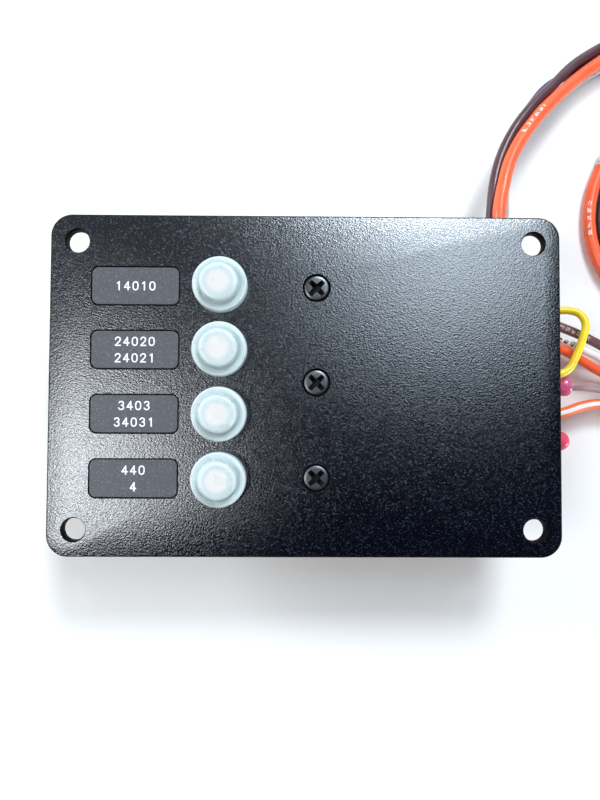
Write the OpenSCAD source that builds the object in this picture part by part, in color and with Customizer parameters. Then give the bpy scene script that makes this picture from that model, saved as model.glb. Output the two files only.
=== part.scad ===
// Circuit breaker panel: four push-to-reset breakers under silicone boots, three relays and their leads.
// It lies face up: X runs along the panel, Y up the panel, Z out of its face, z = 0 is the surface under it.

/* [Panel] */
// Width of the panel along X
panel_w = 152.4; // [140:0.1:200]
// Height of the panel along Y
panel_h = 101.6; // [100:0.1:150]
// Thickness of the panel plate
panel_t = 3.2; // [2.6:0.1:5]
// Radius of the panel's corners
panel_corner_r = 6.35; // [2:0.05:12]

/* [Corner holes] */
// Distance of the corner holes from the panel's edges
mount_inset = 7.9375; // [7:0.0125:12]
// Diameter of the corner holes
mount_hole_d = 6.6; // [4:0.1:7]
// Diameter of the eased rim of a corner hole on the face
mount_rim_d = 8.4; // [7:0.1:10]
// Depth of the eased rim
mount_rim_depth = 1.2; // [0.4:0.1:2]

/* [Labels] */
// Length of a label plate along X
label_w = 26; // [16:0.1:28]
// Height of a label plate along Y
label_h = 11.4; // [6:0.1:15]
// Thickness of a label plate
label_t = 0.6; // [0.4:0.1:1.2]
// Corner radius of a label plate
label_r = 2; // [0.5:0.1:4]
// Depth of the pocket that a label plate lies in
label_pocket = 0.5; // [0.2:0.1:1.2]
// X of the label plates' centres
label_x = -50.8; // [-56:0.1:-46]

/* [Breakers] */
// X of the breakers' centres
breaker_x = -25.4; // [-28:0.1:-24]
// Distance between breakers along Y
breaker_pitch = 19.05; // [18:0.05:21]
// Y of the middle of the breaker and relay rows
row_center_y = 0.8; // [-2:0.1:2]
// Length of a breaker case along X
case_w = 34; // [30:0.5:36]
// Thickness of a breaker case along Y, cover included
case_d = 16; // [14.5:0.1:17.5]
// Depth of a breaker case along Z
case_h = 21; // [19:0.5:30]
// Thickness of the side cover
cover_t = 3; // [2:0.1:3]
// Wall of the case
case_wall = 1.6; // [1.2:0.1:2.2]
// Diameter of the threaded neck
neck_d = 9.525; // [8.5:0.025:10.5]
// Height of the neck above the panel's face
neck_rise = 5; // [4:0.1:8]
// Thickness of the neck's flange on the case
neck_flange_t = 1.4; // [0.8:0.1:3]
// Thickness of the hex nut behind the panel
neck_nut_t = 2.6; // [2:0.1:4]
// Width of the hex nut across its flats
neck_nut_af = 14.3; // [12.5:0.1:16]
// Length of a terminal blade below the case
blade_len = 7.6; // [6:0.1:12]
// Distance of each terminal from the breaker's middle
terminal_offset = 11; // [9.5:0.1:11.5]

/* [Buttons and boots] */
// Diameter of a reset button
button_d = 6.35; // [5:0.05:6.8]
// Height of the button's top above the neck when set
button_rise = 1.2; // [0.6:0.1:3]
// Travel of the button from set to tripped
button_travel = 3; // [1.5:0.1:3.2]
// Outer diameter of a boot's base ring
boot_ring_d = 16; // [14:0.1:18]
// Height of a boot's base ring
boot_ring_h = 4.4; // [3:0.1:4.6]
// Outer diameter of a boot's dome
boot_dome_d = 11.8; // [11.2:0.1:13]
// Thickness of the boot's top
boot_top_t = 1; // [0.6:0.1:2]
// Radius of the dome's shoulder
boot_shoulder_r = 1.5; // [0.5:0.1:2]

/* [Relays] */
// X of the screws that hold the relays
relay_screw_x = 3.175; // [2:0.025:5]
// Distance between relays along Y
relay_pitch = 28.3; // [28:0.1:29]
// Width of a square relay cover
relay_w = 27.4; // [24:0.1:27.6]
// Length of a relay cover along X
relay_len = 23; // [21:0.5:26]
// Distance from the screw to the relay cover
relay_reach = 7.8; // [7:0.1:9]
// Thickness of the relay's base
relay_base_t = 2.5; // [2:0.1:4]
// Thickness of the bracket that holds a relay
tab_t = 1.6; // [1:0.1:3]
// Length of a relay socket along X
socket_len = 18; // [15:0.5:18]
// Width of a relay socket along Y
socket_w = 27.6; // [25:0.1:27.8]
// Depth of a relay socket along Z
socket_h = 31; // [29:0.5:36]
// Gap between a socket and the panel's back
socket_gap = 2; // [0.5:0.1:6]

/* [Screws] */
// Diameter of a relay screw's head
screw_head_d = 7.9; // [7:0.1:9]
// Diameter of a relay screw's shank
screw_d = 4.1; // [3.5:0.1:4.6]
// Height of the countersunk head
screw_head_h = 2.2; // [1.8:0.1:2.5]

/* [Leads] */
// Diameter of the orange feed lead
feed_d = 4.2; // [3:0.1:4.2]
// Diameter of the brown lead
brown_d = 3.4; // [2.5:0.1:3.4]
// Diameter of the blue and white leads
slim_d = 3; // [2:0.1:3]
// Diameter of the short leads from the sockets
tail_d = 3.2; // [2:0.1:3.2]
// Diameter of the thin white lead from a socket
thin_tail_d = 2.6; // [1.8:0.1:2.6]
// Diameter of the yellow jumper
jumper_d = 2.7; // [1.8:0.1:2.7]
// Diameter of the butt splice
splice_d = 7; // [5:0.1:7]
// Diameter of the crimp cap
cap_d = 6.6; // [5:0.1:6.6]

/* [Hidden] */
$fn = 48;
eps = 0.01;

// Clearances: fit between sliding or seated faces, air between bodies that move
fit = 0.15;
air = 0.3;

// Rows and levels
BREAKERS = [1, 2, 3, 4];
RELAYS = [1, 2, 3];
function breaker_y(i) = row_center_y + (2.5 - i) * breaker_pitch;
function relay_y(i) = row_center_y + (2 - i) * relay_pitch;
foot_gap = 0.4;
breaker_depth = neck_nut_t + neck_flange_t + case_h + blade_len + foot_gap;
back_z = max(socket_h + socket_gap, breaker_depth);
face_z = back_z + panel_t;
case_top = back_z - neck_nut_t - neck_flange_t;
case_bottom = case_top - case_h;
blade_tip = case_bottom - blade_len;
case_ceiling = case_top - case_wall;
case_floor = case_bottom + case_wall;
split_y = case_d / 2 - cover_t;

// Button and its stem
stop_t = 1.2;
stop_d = neck_d - 0.9;
stop_top = case_ceiling - button_travel - air;
stem_d = 3;
shelf_t = 1.4;
shelf_half = 6;
shelf_top = stop_top - stop_t - 4.3;
neck_top = face_z + neck_rise;
button_top = neck_top + button_rise;
button_edge_r = 0.5;

// Contacts, from the case floor up
foot_t = 0.8;
contact_d = 3;
contact_t = 0.7;
contact_gap = 0.05;
foot_z = case_floor + 0.8;
bridge_t = 0.8;
bridge_z = foot_z + foot_t + 2 * contact_t + contact_gap;
bridge_half = terminal_offset - 1;
bridge_w = 5;
contact_x = terminal_offset - 3.4;
bimetal_t = 0.6;
bimetal_h = 3.5;
bimetal_y = bridge_w / 2 + 0.9;
blade_w = 6.35;
blade_t = 0.8;
boss_d = 4.4;
cover_land = 1.2;
cover_rim = 0.6;
cover_skin = 1.4;
rivet_d = 2.2;
rivet_x = case_w / 2 - 2.6;
rivet_head_d = 3.6;
rivet_head_t = 0.6;

// Bus bar
bus_t = 1.2;
bus_h = 6;
bus_x = breaker_x - terminal_offset - blade_t / 2 - bus_t;
bus_low_y = breaker_y(4) - case_d / 2 - 2.5;
bus_high_y = breaker_y(1) + blade_w / 2 + 1;
bus_z = blade_tip - foot_gap;
feed_tab_len = 8.8;

// Push-on connectors
flag_back = 3.4;
flag_front = 5.8;
flag_w = 8.4;
flag_h = 7.2;
feed_grip = [11, 5, 7.2];
feed_overlap = 7;

// Relay levels, along X from the screw and along Z from the panel's back
cover_x = relay_screw_x + relay_reach;
base_x = cover_x + relay_len;
socket_x = base_x + relay_base_t;
relay_z = back_z - socket_gap - socket_h / 2;
relay_wall = 1.2;
relay_corner_r = 2;
tab_w = 14;
base_lip = 1.2;
relay_blade_len = 11;
relay_blade_w = 6.3;
relay_blade_spread = 8.2;
pocket_depth = relay_blade_len + 0.6;
socket_step = 6.5;
socket_neck_w = socket_w - 3.6;
socket_neck_h = socket_h - 6;
socket_r = 1.5;
yoke_t = 1.4;
yoke_w = 15;
coil_len = 14.5;
coil_d = 13.6;
bobbin_flange_d = 16;
bobbin_flange_t = 1;
core_d = 6;
coil_x = base_x - base_lip - yoke_t - coil_len;
yoke_top = relay_z + relay_w / 2 - relay_wall - 0.8;
armature_t = 1.2;
armature_w = 13;
armature_gap = 1.25;
core_proud = 0.4;
armature_x = coil_x - core_proud - armature_gap - armature_t;
hinge_r = 0.7;
hinge_x = armature_x + armature_t / 2;
hinge_z = yoke_top - yoke_t - hinge_r - 0.1;
armature_low = relay_z - 8.5;

// Screws and nuts
screw_fit = 0.4;
nut_t = 3.2;
nut_af = 8;
screw_tail = 1.2;
screw_sink = 0.2;
recess_w = 1;
recess_len = 4.6;
recess_depth = 1.6;

// Sides of a round tube, and the step between its rings in diameters
TUBE_SIDES = 8;
RING_STEP = 2.2;

// The bundle that leaves at the top edge: its middle line, then each lead as [sideways, height] along it
TRUNK = [[62.3, 58], [64, 66], [67, 75], [72, 84], [79, 93], [87.5, 102], [96, 110], [105, 117],
    [117, 123.5], [133, 127.5], [152, 126], [171, 117], [186, 102], [194, 82], [194, 61], [186, 42],
    [171, 28], [152, 21], [132, 23], [115.5, 33], [105.5, 46], [102, 60], [103, 71], [106.5, 81]];
ORANGE_LANE = [[0, 24], [0, 23], [0, 21], [0, 19], [0, 16.5], [0, 13], [0, 9.5], [0, 7.2],
    [0, 5.6], [0, 4.9], [0, 4.9], [0, 4.9], [0, 5.4], [0, 6.2], [0, 6], [0, 4.8],
    [0, 3], [0, 2.3], [0, 2.2], [0, 2.2], [0, 2.2], [0, 2.2], [0, 2.2], [0, 2.2]];
BROWN_LANE = [[-2.8, 20.8], [-3, 20], [-3.4, 18.6], [-3.8, 17.2], [-4.1, 15.4], [-4.2, 12.6], [-4.2, 9.4],
    [-4.3, 6.8], [-4.8, 4], [-5.3, 2.1], [-5.3, 1.8], [-5.3, 1.8], [-4.6, 1.8], [-1, 1.8], [3, 1.8],
    [4.6, 1.8], [4.5, 1.8], [4.5, 1.8], [4.5, 1.8], [4.5, 1.8], [4.5, 1.8], [4.5, 1.8], [4.5, 1.8],
    [4.5, 1.8]];
BLUE_LANE = [[-3.2, 17], [-3.4, 16.2], [-4.2, 14.9], [-5.2, 13.4], [-5.6, 11.6], [-4.8, 8.8], [-3.6, 5.6],
    [-2.6, 3.2], [-1.9, 1.9], [-1.8, 1.6], [-1.8, 1.6], [-1.8, 1.6]];
WHITE_LANE = [[2.8, 20.4], [1.8, 18.9], [0.8, 16.7], [0.4, 14.5], [0.2, 12], [0.2, 8.7], [0.4, 5.3],
    [1, 3.1], [1.7, 1.9], [1.8, 1.6], [1.8, 1.6], [1.8, 1.6], [1.8, 1.6]];

// The same leads behind the panel, from their terminals to the top edge
ORANGE_RUN = [[-24, -37.7, 3.2], [-19, -37.7, 3.2], [-8, -41, 5], [0, -46, 7], [10, -48.2, 7.6],
    [26, -48.3, 7.6], [42, -48.3, 7.8], [52, -48, 8.6], [59.3, -46, 12], [63, -40, 15.5], [63.2, -30, 18.5],
    [62.8, -14, 22.3], [62.4, 5, 24], [62.3, 25, 24], [62.3, 46, 24]];
BROWN_RUN = [[-8.6, 10.3, 3.6], [-4, 10.3, 3.6], [1, 7.5, 5], [3.4, 2, 6.5], [3.5, -8, 7], [3.5, -22, 7],
    [3.6, -31, 7], [4.4, -38, 7], [8, -42.6, 7], [15, -44, 7], [26, -44, 7], [40, -44, 7.4], [50, -44, 8.5],
    [56.5, -41.7, 11], [58.4, -36, 13.5], [58.6, -28, 16.4], [58.6, -14, 20], [58.8, 5, 20.8],
    [59.2, 25, 20.8], [59.5, 46, 20.8]];
BLUE_RUN = [[-8.6, -8.7, 3.6], [-4.8, -8.7, 3.6], [-0.6, -12, 3], [0.5, -18, 2.8], [0.5, -28, 2.8],
    [1.2, -36, 2.8], [4.8, -42, 2.8], [12, -44, 2.8], [26, -44, 2.8], [40, -44, 3], [50, -43.9, 4],
    [56.4, -41.4, 6.5], [58.4, -35, 9.5], [58.6, -26, 13], [58.6, -12, 16.4], [58.8, 6, 17],
    [59, 26, 17], [59.2, 46, 17]];
WHITE_RUN = [[-8.6, -27.8, 3.6], [-5.6, -27.8, 3.6], [-3, -31, 3], [-2.6, -37, 2.6], [0.2, -43.4, 2.4],
    [6, -47.2, 2.4], [14, -48, 2.4], [26, -48.1, 2.4], [42, -48, 2.6], [52, -47.6, 4], [59.5, -45, 7.5],
    [63, -39, 11], [63.4, -30, 14], [63.4, -14, 17.6], [63, 6, 19.2], [62.6, 26, 19.6], [62.6, 40, 19.6],
    [63.6, 47, 19.8]];

// The short leads that leave at the right edge
TAIL_BROWN = [[54.5, 29.1, 10], [59, 29.1, 10], [70, 27.8, 10], [80, 25.8, 10], [88, 23.2, 9.6],
    [96, 19.6, 8.4], [104, 15.8, 6.4], [114, 11, 3.8], [126, 7.6, 2.1], [140, 6.4, 1.7], [156, 6.2, 1.7]];
TAIL_WHITE = [[54.5, 24.6, 9], [59, 24.6, 9], [70, 22.4, 9.4], [80, 19.6, 9.6], [88, 17, 9.4],
    [96, 13.6, 9], [104, 10.2, 8], [114, 6.4, 5.6], [126, 3.2, 2.4], [138, 2.4, 1.4], [150, 2.2, 1.4]];
TAIL_ORANGE = [[54.5, 8.6, 10], [59, 8.6, 10], [68, 10.8, 9.6], [78, 13.6, 9], [86, 14.4, 8.4],
    [93, 12.8, 6.8], [100, 9.6, 5], [108, 5.6, 3.4], [118, 1.4, 2.1], [130, -1.2, 1.7], [144, -1.8, 1.7]];
TAIL_GREY = [[92.2, 2.3, 11], [95.6, 2.3, 11], [103, 1.2, 8.6], [112, -1.4, 5.4], [122, -4.6, 2.8],
    [134, -6.2, 1.7], [148, -6.6, 1.7]];
TAIL_STRIPED = [[54.5, -17, 8], [59, -17, 8], [64, -14.8, 8], [68, -12.6, 8], [73, -11, 8], [80, -9.6, 8],
    [90, -7.4, 7.8], [96, -5.4, 7.2], [103, -4.4, 6.2], [112, -7, 4], [122, -9.6, 2.4], [134, -10.8, 1.7],
    [150, -11, 1.7]];
JUMPER = [[54.5, 34.6, 12], [59, 34.6, 12], [70, 33.4, 12.4], [80, 30, 13], [87.5, 27.2, 13.8],
    [92, 25, 14.4], [94.8, 21, 14.6], [94.4, 15.6, 14.6], [92, 10.4, 14.8], [88, 7.8, 15], [80, 7.4, 14.5], [70, 7, 13.2],
    [59, 5.4, 11.6], [54.5, 5.4, 11.6]];
SPLICE_STUB = [[54.5, 0.8, 11], [59, 0.8, 11], [65, 1.6, 11], [68.5, 2.3, 11], [72, 2.3, 11]];
CAP_STUB = [[54.5, -24, 9], [58, -24, 9], [63, -20.4, 9], [67.4, -17.2, 9], [71, -17.2, 9]];
splice_ends = [72, 92.2];
cap_ends = [71, 90.8];

// A curve through hand-chosen points, with the slope at each taken from its two neighbours
function slope(p, i) = i == 0 ? unit(p[1] - p[0])
    : i == len(p) - 1 ? unit(p[i] - p[i - 1])
    : unit(unit(p[i] - p[i - 1]) * norm(p[i + 1] - p[i]) + unit(p[i + 1] - p[i]) * norm(p[i] - p[i - 1]));
function unit(v) = v / norm(v);
function blend(a, b, sa, sb, t) = a * (2 * t ^ 3 - 3 * t ^ 2 + 1) + sa * (t ^ 3 - 2 * t ^ 2 + t)
    + b * (3 * t ^ 2 - 2 * t ^ 3) + sb * (t ^ 3 - t ^ 2);
function curve(p, step) = [for (i = [0:len(p) - 2])
    let (d = norm(p[i + 1] - p[i]), n = max(1, ceil(d / step)))
    for (k = [0:n - 1]) blend(p[i], p[i + 1], slope(p, i) * d, slope(p, i + 1) * d, k / n), p[len(p) - 1]];

// A lead in the bundle: the bundle's middle line moved sideways by its lane, at the lane's height
function flat_slope(i) = slope([for (q = TRUNK) [q[0], q[1], 0]], i);
function lane_points(lane) = [for (i = [0:len(lane) - 1])
    [TRUNK[i][0] + flat_slope(i)[1] * lane[i][0], TRUNK[i][1] - flat_slope(i)[0] * lane[i][0], lane[i][1]]];

// A round tube along points, as rings of sides joined by triangles
function ring(p, dir, r, n) = let (side = unit(cross(dir, [0, 0, 1])), up = cross(side, dir))
    [for (k = [0:n - 1]) p + r * (cos(360 * k / n) * side + sin(360 * k / n) * up)];
function tube_faces(m, n) = concat(
    [for (k = [1:n - 2]) [0, k + 1, k]],
    [for (k = [1:n - 2]) [(m - 1) * n, (m - 1) * n + k, (m - 1) * n + k + 1]],
    [for (i = [0:m - 2], k = [0:n - 1]) [i * n + k, i * n + (k + 1) % n, (i + 1) * n + k]],
    [for (i = [0:m - 2], k = [0:n - 1]) [i * n + (k + 1) % n, (i + 1) * n + (k + 1) % n, (i + 1) * n + k]]);
module tube(points, d, sides = TUBE_SIDES) {
    rings = [for (i = [0:len(points) - 1]) each ring(points[i], slope(points, i), d / 2, sides)];
    polyhedron(points = rings, faces = tube_faces(len(points), sides));
}
module lead(points, d) tube(curve(points, RING_STEP * d), d);

// The least gap of a tube to itself, between points over four diameters apart along it
function least_gap(p, d, pitch) = let (apart = ceil(4 * d / pitch))
    min([for (i = [0:len(p) - 1], j = [i + apart:1:len(p) - 1]) norm(p[i] - p[j])]) - d;

// A rounded rectangle from squares and circles
module rounded_rect(w, h, r) {
    square([w - 2 * r, h], center = true);
    square([w, h - 2 * r], center = true);
    for (x = [-1, 1], y = [-1, 1]) translate([x * (w / 2 - r), y * (h / 2 - r)]) circle(r);
}
// The same outline standing on the YZ plane, run along +X
module bar_x(w, h, r, len) rotate([90, 0, 90]) linear_extrude(len) rounded_rect(w, h, r);
module at_breaker(i) translate([breaker_x, breaker_y(i), 0]) children();
module at_relay(i) translate([0, relay_y(i), 0]) children();
module hex_nut(af, t, bore) difference() {
    cylinder(d = af / cos(30), h = t, $fn = 6);
    translate([0, 0, -1]) cylinder(d = bore, h = t + 2);
}

// Panel plate with its holes, countersinks and label pockets
module corner_hole() {
    translate([0, 0, back_z - 1]) cylinder(d = mount_hole_d, h = panel_t + 2);
    translate([0, 0, face_z - mount_rim_depth])
        cylinder(d1 = mount_hole_d, d2 = mount_rim_d, h = mount_rim_depth + eps);
}
module screw_hole() {
    translate([0, 0, back_z - 1]) cylinder(d = screw_d + screw_fit, h = panel_t + 2);
    translate([0, 0, face_z - screw_head_h])
        cylinder(d1 = screw_d + screw_fit, d2 = screw_head_d + screw_fit, h = screw_head_h + eps);
}
module panel() color("#16181c") difference() {
    translate([0, 0, back_z]) linear_extrude(panel_t) rounded_rect(panel_w, panel_h, panel_corner_r);
    for (x = [-1, 1], y = [-1, 1])
        translate([x * (panel_w / 2 - mount_inset), y * (panel_h / 2 - mount_inset), 0]) corner_hole();
    for (i = BREAKERS) at_breaker(i) translate([0, 0, back_z - 1])
        cylinder(d = neck_d + 2 * fit, h = panel_t + 2);
    for (i = RELAYS) translate([relay_screw_x, relay_y(i), 0]) screw_hole();
    for (i = BREAKERS) translate([label_x, breaker_y(i), face_z - label_pocket])
        linear_extrude(label_pocket + 1) rounded_rect(label_w + 2 * fit, label_h + 2 * fit, label_r + fit);
}
module label_plate(i) color("#2b2d31") translate([label_x, breaker_y(i), face_z - label_pocket])
    linear_extrude(label_t) rounded_rect(label_w, label_h, label_r);

// Boot: a base ring, a groove and a stepped dome over the neck and the button
module boot(i) {
    bore_r = neck_d / 2 + fit;
    top = button_top + air - face_z + boot_top_t;
    dome_r = boot_dome_d / 2;
    ring_r = boot_ring_d / 2;
    rim_r = 0.7;
    groove = 0.9;
    color("#dfeef2") at_breaker(i) translate([0, 0, face_z]) rotate_extrude() difference() {
        union() {
            square([ring_r, boot_ring_h - rim_r]);
            square([ring_r - rim_r, boot_ring_h]);
            translate([ring_r - rim_r, boot_ring_h - rim_r]) circle(rim_r);
            square([dome_r, top - boot_shoulder_r]);
            square([dome_r - boot_shoulder_r, top]);
            translate([dome_r - boot_shoulder_r, top - boot_shoulder_r]) circle(boot_shoulder_r);
        }
        translate([dome_r, boot_ring_h - groove]) square([0.6, groove + 1]);
        translate([-1, -1]) square([bore_r + 1, neck_rise + air + 1]);
        translate([-1, -1]) square([button_d / 2 + 2 * air + 1, top - boot_top_t + 1]);
        translate([-ring_r, -1]) square([ring_r, top + 2]);
    }
}

// Reset button: the white end, the stop that keeps it in and the stem down to the contact bridge
module button(i) color("#f4f6f6") at_breaker(i) rotate_extrude() {
    r = button_d / 2;
    translate([0, stop_top - eps]) square([r, button_top - stop_top - button_edge_r + eps]);
    translate([0, stop_top]) square([r - button_edge_r, button_top - stop_top]);
    intersection() {
        translate([r - button_edge_r, button_top - button_edge_r]) circle(button_edge_r);
        translate([0, stop_top]) square([r, button_top]);
    }
    translate([0, stop_top - stop_t]) square([stop_d / 2, stop_t]);
    translate([0, bridge_z + bridge_t]) square([stem_d / 2, stop_top - stop_t - bridge_z - bridge_t + eps]);
    translate([0, bridge_z]) square([stem_d / 2 - 0.5, bridge_t + eps]);
}
module contact_bridge(i) color("#c98a52") at_breaker(i) {
    difference() {
        translate([-bridge_half, -bridge_w / 2, bridge_z]) cube([2 * bridge_half, bridge_w, bridge_t]);
        translate([0, 0, bridge_z - 1]) cylinder(d = stem_d - 1 + 2 * fit, h = bridge_t + 2);
    }
    for (x = [-1, 1]) translate([x * contact_x, 0, bridge_z - contact_t])
        cylinder(d = contact_d, h = contact_t + eps);
}

// Spring under the button's stop, as one helix
SPRING_CURLS = 3;
SPRING_RINGS = 8;
SPRING_SIDES = 6;
spring_wire = 0.6;
spring_r = 2.4;
spring_rise = stop_top - stop_t - shelf_top - spring_wire - 0.1;
SPRING = [for (k = [0:SPRING_CURLS * SPRING_RINGS]) let (a = 360 * k / SPRING_RINGS)
    [spring_r * cos(a), spring_r * sin(a),
        shelf_top + spring_wire / 2 + 0.05 + spring_rise * k / (SPRING_CURLS * SPRING_RINGS)]];
module return_springs() color("#b9bcc0") for (i = BREAKERS)
    at_breaker(i) tube(SPRING, spring_wire, SPRING_SIDES);

// Breaker housing: a tray with the works in it, closed by a riveted side cover
module breaker_block() translate([0, 0, case_bottom]) linear_extrude(case_h) rounded_rect(case_w, case_d, 1);
module rivet_places() for (s = [-1, 1])
    translate([s * rivet_x, 0, s > 0 ? case_floor + boss_d / 2 : case_ceiling - boss_d / 2]) children();
module breaker_case(i) color("#1d1d1f") at_breaker(i) {
    in_w = case_w - 2 * case_wall;
    in_y = -case_d / 2 + case_wall;
    boss_end = split_y - cover_land - fit;
    difference() {
        intersection() {
            breaker_block();
            translate([-case_w, -case_d, 0]) cube([2 * case_w, case_d + split_y, back_z]);
        }
        difference() {
            translate([-in_w / 2, in_y, case_floor]) cube([in_w, case_d, case_ceiling - case_floor]);
            rivet_places() translate([0, boss_end, 0]) rotate([90, 0, 0]) cylinder(d = boss_d, h = case_d);
            difference() {
                translate([-shelf_half, in_y - 1, shelf_top - shelf_t])
                    cube([2 * shelf_half, boss_end - in_y + 1, shelf_t]);
                translate([0, 0, shelf_top - shelf_t - 1]) cylinder(d = stem_d + 2 * air, h = shelf_t + 2);
            }
        }
        rivet_places() rotate([90, 0, 0]) cylinder(d = rivet_d + 2 * fit, h = 4 * case_d, center = true);
        translate([0, 0, case_ceiling - 1]) cylinder(d = neck_d + 2 * fit, h = case_wall + 2);
        for (s = [-1, 1]) translate([s * terminal_offset, 0, case_bottom])
            cube([blade_t + 2 * fit, blade_w + 2 * fit, 3 * case_wall], center = true);
    }
}
module breaker_covers() color("#242427") for (i = BREAKERS) at_breaker(i) {
    outer_w = case_w - 2 * case_wall - 2 * fit;
    outer_h = case_ceiling - case_floor - 2 * fit;
    difference() {
        union() {
            intersection() {
                breaker_block();
                translate([-case_w, split_y, 0]) cube([2 * case_w, case_d, back_z]);
            }
            translate([-outer_w / 2, split_y - cover_land, case_floor + fit])
                cube([outer_w, cover_land + eps, outer_h]);
        }
        difference() {
            translate([-outer_w / 2 + cover_rim, split_y - cover_land - 1, case_floor + fit + cover_rim])
                cube([outer_w - 2 * cover_rim, cover_land + 1 + cover_t - cover_skin,
                    outer_h - 2 * cover_rim]);
            rivet_places() translate([0, split_y - cover_land, 0]) rotate([-90, 0, 0])
                cylinder(d = boss_d, h = case_d);
        }
        translate([-stop_d / 2 - air, split_y - cover_land - 1, stop_top])
            cube([stop_d + 2 * air, cover_land + 1, case_ceiling - stop_top]);
        rivet_places() rotate([90, 0, 0]) cylinder(d = rivet_d + 2 * fit, h = 4 * case_d, center = true);
    }
}
module case_rivets() color("#b8a06a") for (i = BREAKERS) at_breaker(i) rivet_places() {
    rotate([90, 0, 0]) cylinder(d = rivet_d, h = case_d, center = true);
    for (s = [-1, 1]) translate([0, s * (case_d + rivet_head_t) / 2, 0])
        rotate([90, 0, 0]) cylinder(d = rivet_head_d, h = rivet_head_t, center = true);
}
module threaded_necks() color("#c3c6c9") for (i = BREAKERS) at_breaker(i) difference() {
    union() {
        translate([0, 0, case_ceiling]) cylinder(d = neck_d, h = neck_top - case_ceiling);
        translate([0, 0, case_top]) cylinder(d = case_d - 3, h = neck_flange_t);
    }
    translate([0, 0, case_ceiling - 1]) cylinder(d = button_d + 2 * fit, h = neck_top - case_ceiling + 2);
}
module neck_nuts() color("#b9bcc0") for (i = BREAKERS) at_breaker(i)
    translate([0, 0, case_top + neck_flange_t]) hex_nut(neck_nut_af, neck_nut_t, neck_d + 2 * fit);

// Terminals: a blade below the case, a foot inside it and a fixed contact on the foot
module terminal(side, foot_y) {
    reach = terminal_offset - contact_x + contact_d / 2;
    mirror([side < 0 ? 1 : 0, 0, 0]) {
        translate([terminal_offset - blade_t / 2, -blade_w / 2, blade_tip])
            cube([blade_t, blade_w, foot_z + foot_t - blade_tip]);
        translate([terminal_offset + blade_t / 2 - reach - blade_t, -blade_w / 2, foot_z])
            cube([reach + blade_t, blade_w / 2 + foot_y, foot_t]);
        translate([contact_x, 0, foot_z + foot_t - eps]) cylinder(d = contact_d, h = contact_t + eps);
    }
}
module line_terminals() color("#c9a24b") for (i = BREAKERS) at_breaker(i) terminal(-1, blade_w / 2);
module load_terminals() color("#c9a24b") for (i = BREAKERS) at_breaker(i) terminal(1, bimetal_y + bimetal_t);
module bimetal_blades() color("#a9a497") for (i = BREAKERS) at_breaker(i) {
    end_x = terminal_offset + blade_t / 2;
    blade_z = foot_z + foot_t + 1.3;
    translate([end_x - 2, bimetal_y, foot_z + foot_t]) cube([2, bimetal_t, 1.3 + eps]);
    translate([-terminal_offset + 2, bimetal_y, blade_z])
        cube([end_x + terminal_offset - 2, bimetal_t, bimetal_h]);
}

// Copper bar along the line terminals, with a tab for the feed at its low end
module bus_bar() color("#b87333") {
    translate([bus_x, bus_low_y, bus_z]) cube([bus_t, bus_high_y - bus_low_y, bus_h]);
    translate([bus_x, bus_low_y, bus_z]) cube([bus_t + feed_tab_len, bus_t, bus_h]);
}
module push_on_connectors() color("#dfe3e6") {
    for (i = [2, 3, 4]) at_breaker(i) difference() {
        translate([terminal_offset - flag_back, -flag_w / 2, bus_z])
            cube([flag_back + flag_front, flag_w, flag_h]);
        translate([terminal_offset - blade_t / 2 - fit, -blade_w / 2 - fit, blade_tip - fit])
            cube([blade_t + 2 * fit, blade_w + 2 * fit, flag_h + 1]);
    }
    tab_end = bus_x + bus_t + feed_tab_len;
    difference() {
        translate([tab_end - feed_overlap, bus_low_y + bus_t / 2 - feed_grip[1] / 2, bus_z]) cube(feed_grip);
        translate([tab_end - feed_overlap - 1, bus_low_y - fit, bus_z - 1])
            cube([feed_overlap + 1 + fit, bus_t + 2 * fit, bus_h + 1 + fit]);
    }
}

// Relay: a square cover on a bent bracket, a base with blades, and a coil that pulls an armature
module relay_cover(i) color("#1b1c1f") at_relay(i) difference() {
    translate([cover_x, 0, relay_z]) bar_x(relay_w, relay_w, relay_corner_r, relay_len);
    translate([cover_x + relay_wall, 0, relay_z])
        bar_x(relay_w - 2 * relay_wall, relay_w - 2 * relay_wall, relay_corner_r - 1, relay_len);
}
module relay_brackets() color("#a7aaad") for (i = RELAYS) at_relay(i) {
    difference() {
        union() {
            translate([relay_screw_x, 0, back_z - tab_t]) cylinder(d = tab_w, h = tab_t);
            translate([relay_screw_x, -tab_w / 2, back_z - tab_t])
                cube([cover_x - relay_screw_x, tab_w, tab_t]);
        }
        translate([relay_screw_x, 0, back_z - tab_t - 1]) cylinder(d = screw_d + screw_fit, h = tab_t + 2);
    }
    translate([cover_x - tab_t, -tab_w / 2, relay_z]) cube([tab_t, tab_w, back_z - relay_z - tab_t / 2]);
}
module blade_places() for (p = [[0, 1, 0], [0, -1, 0], [1, 0, 90], [-1, 0, 90]])
    translate([0, p[0] * relay_blade_spread, relay_z + p[1] * relay_blade_spread])
    rotate([p[2], 0, 0]) children();
module relay_bases() color("#3a3430") for (i = RELAYS) at_relay(i) difference() {
    union() {
        translate([base_x, 0, relay_z]) bar_x(relay_w, relay_w, relay_corner_r, relay_base_t);
        translate([base_x - base_lip, 0, relay_z])
            bar_x(relay_w - 2 * relay_wall - 2 * fit, relay_w - 2 * relay_wall - 2 * fit, 1, base_lip + eps);
    }
    blade_places() translate([base_x, 0, 0])
        cube([4 * relay_base_t, relay_blade_w + 2 * fit, blade_t + 2 * fit], center = true);
}
module relay_blades() color("#c2b280") for (i = RELAYS) at_relay(i) blade_places()
    translate([base_x - base_lip + air, -relay_blade_w / 2, -blade_t / 2])
    cube([base_lip - air + relay_base_t + relay_blade_len, relay_blade_w, blade_t]);
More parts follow.
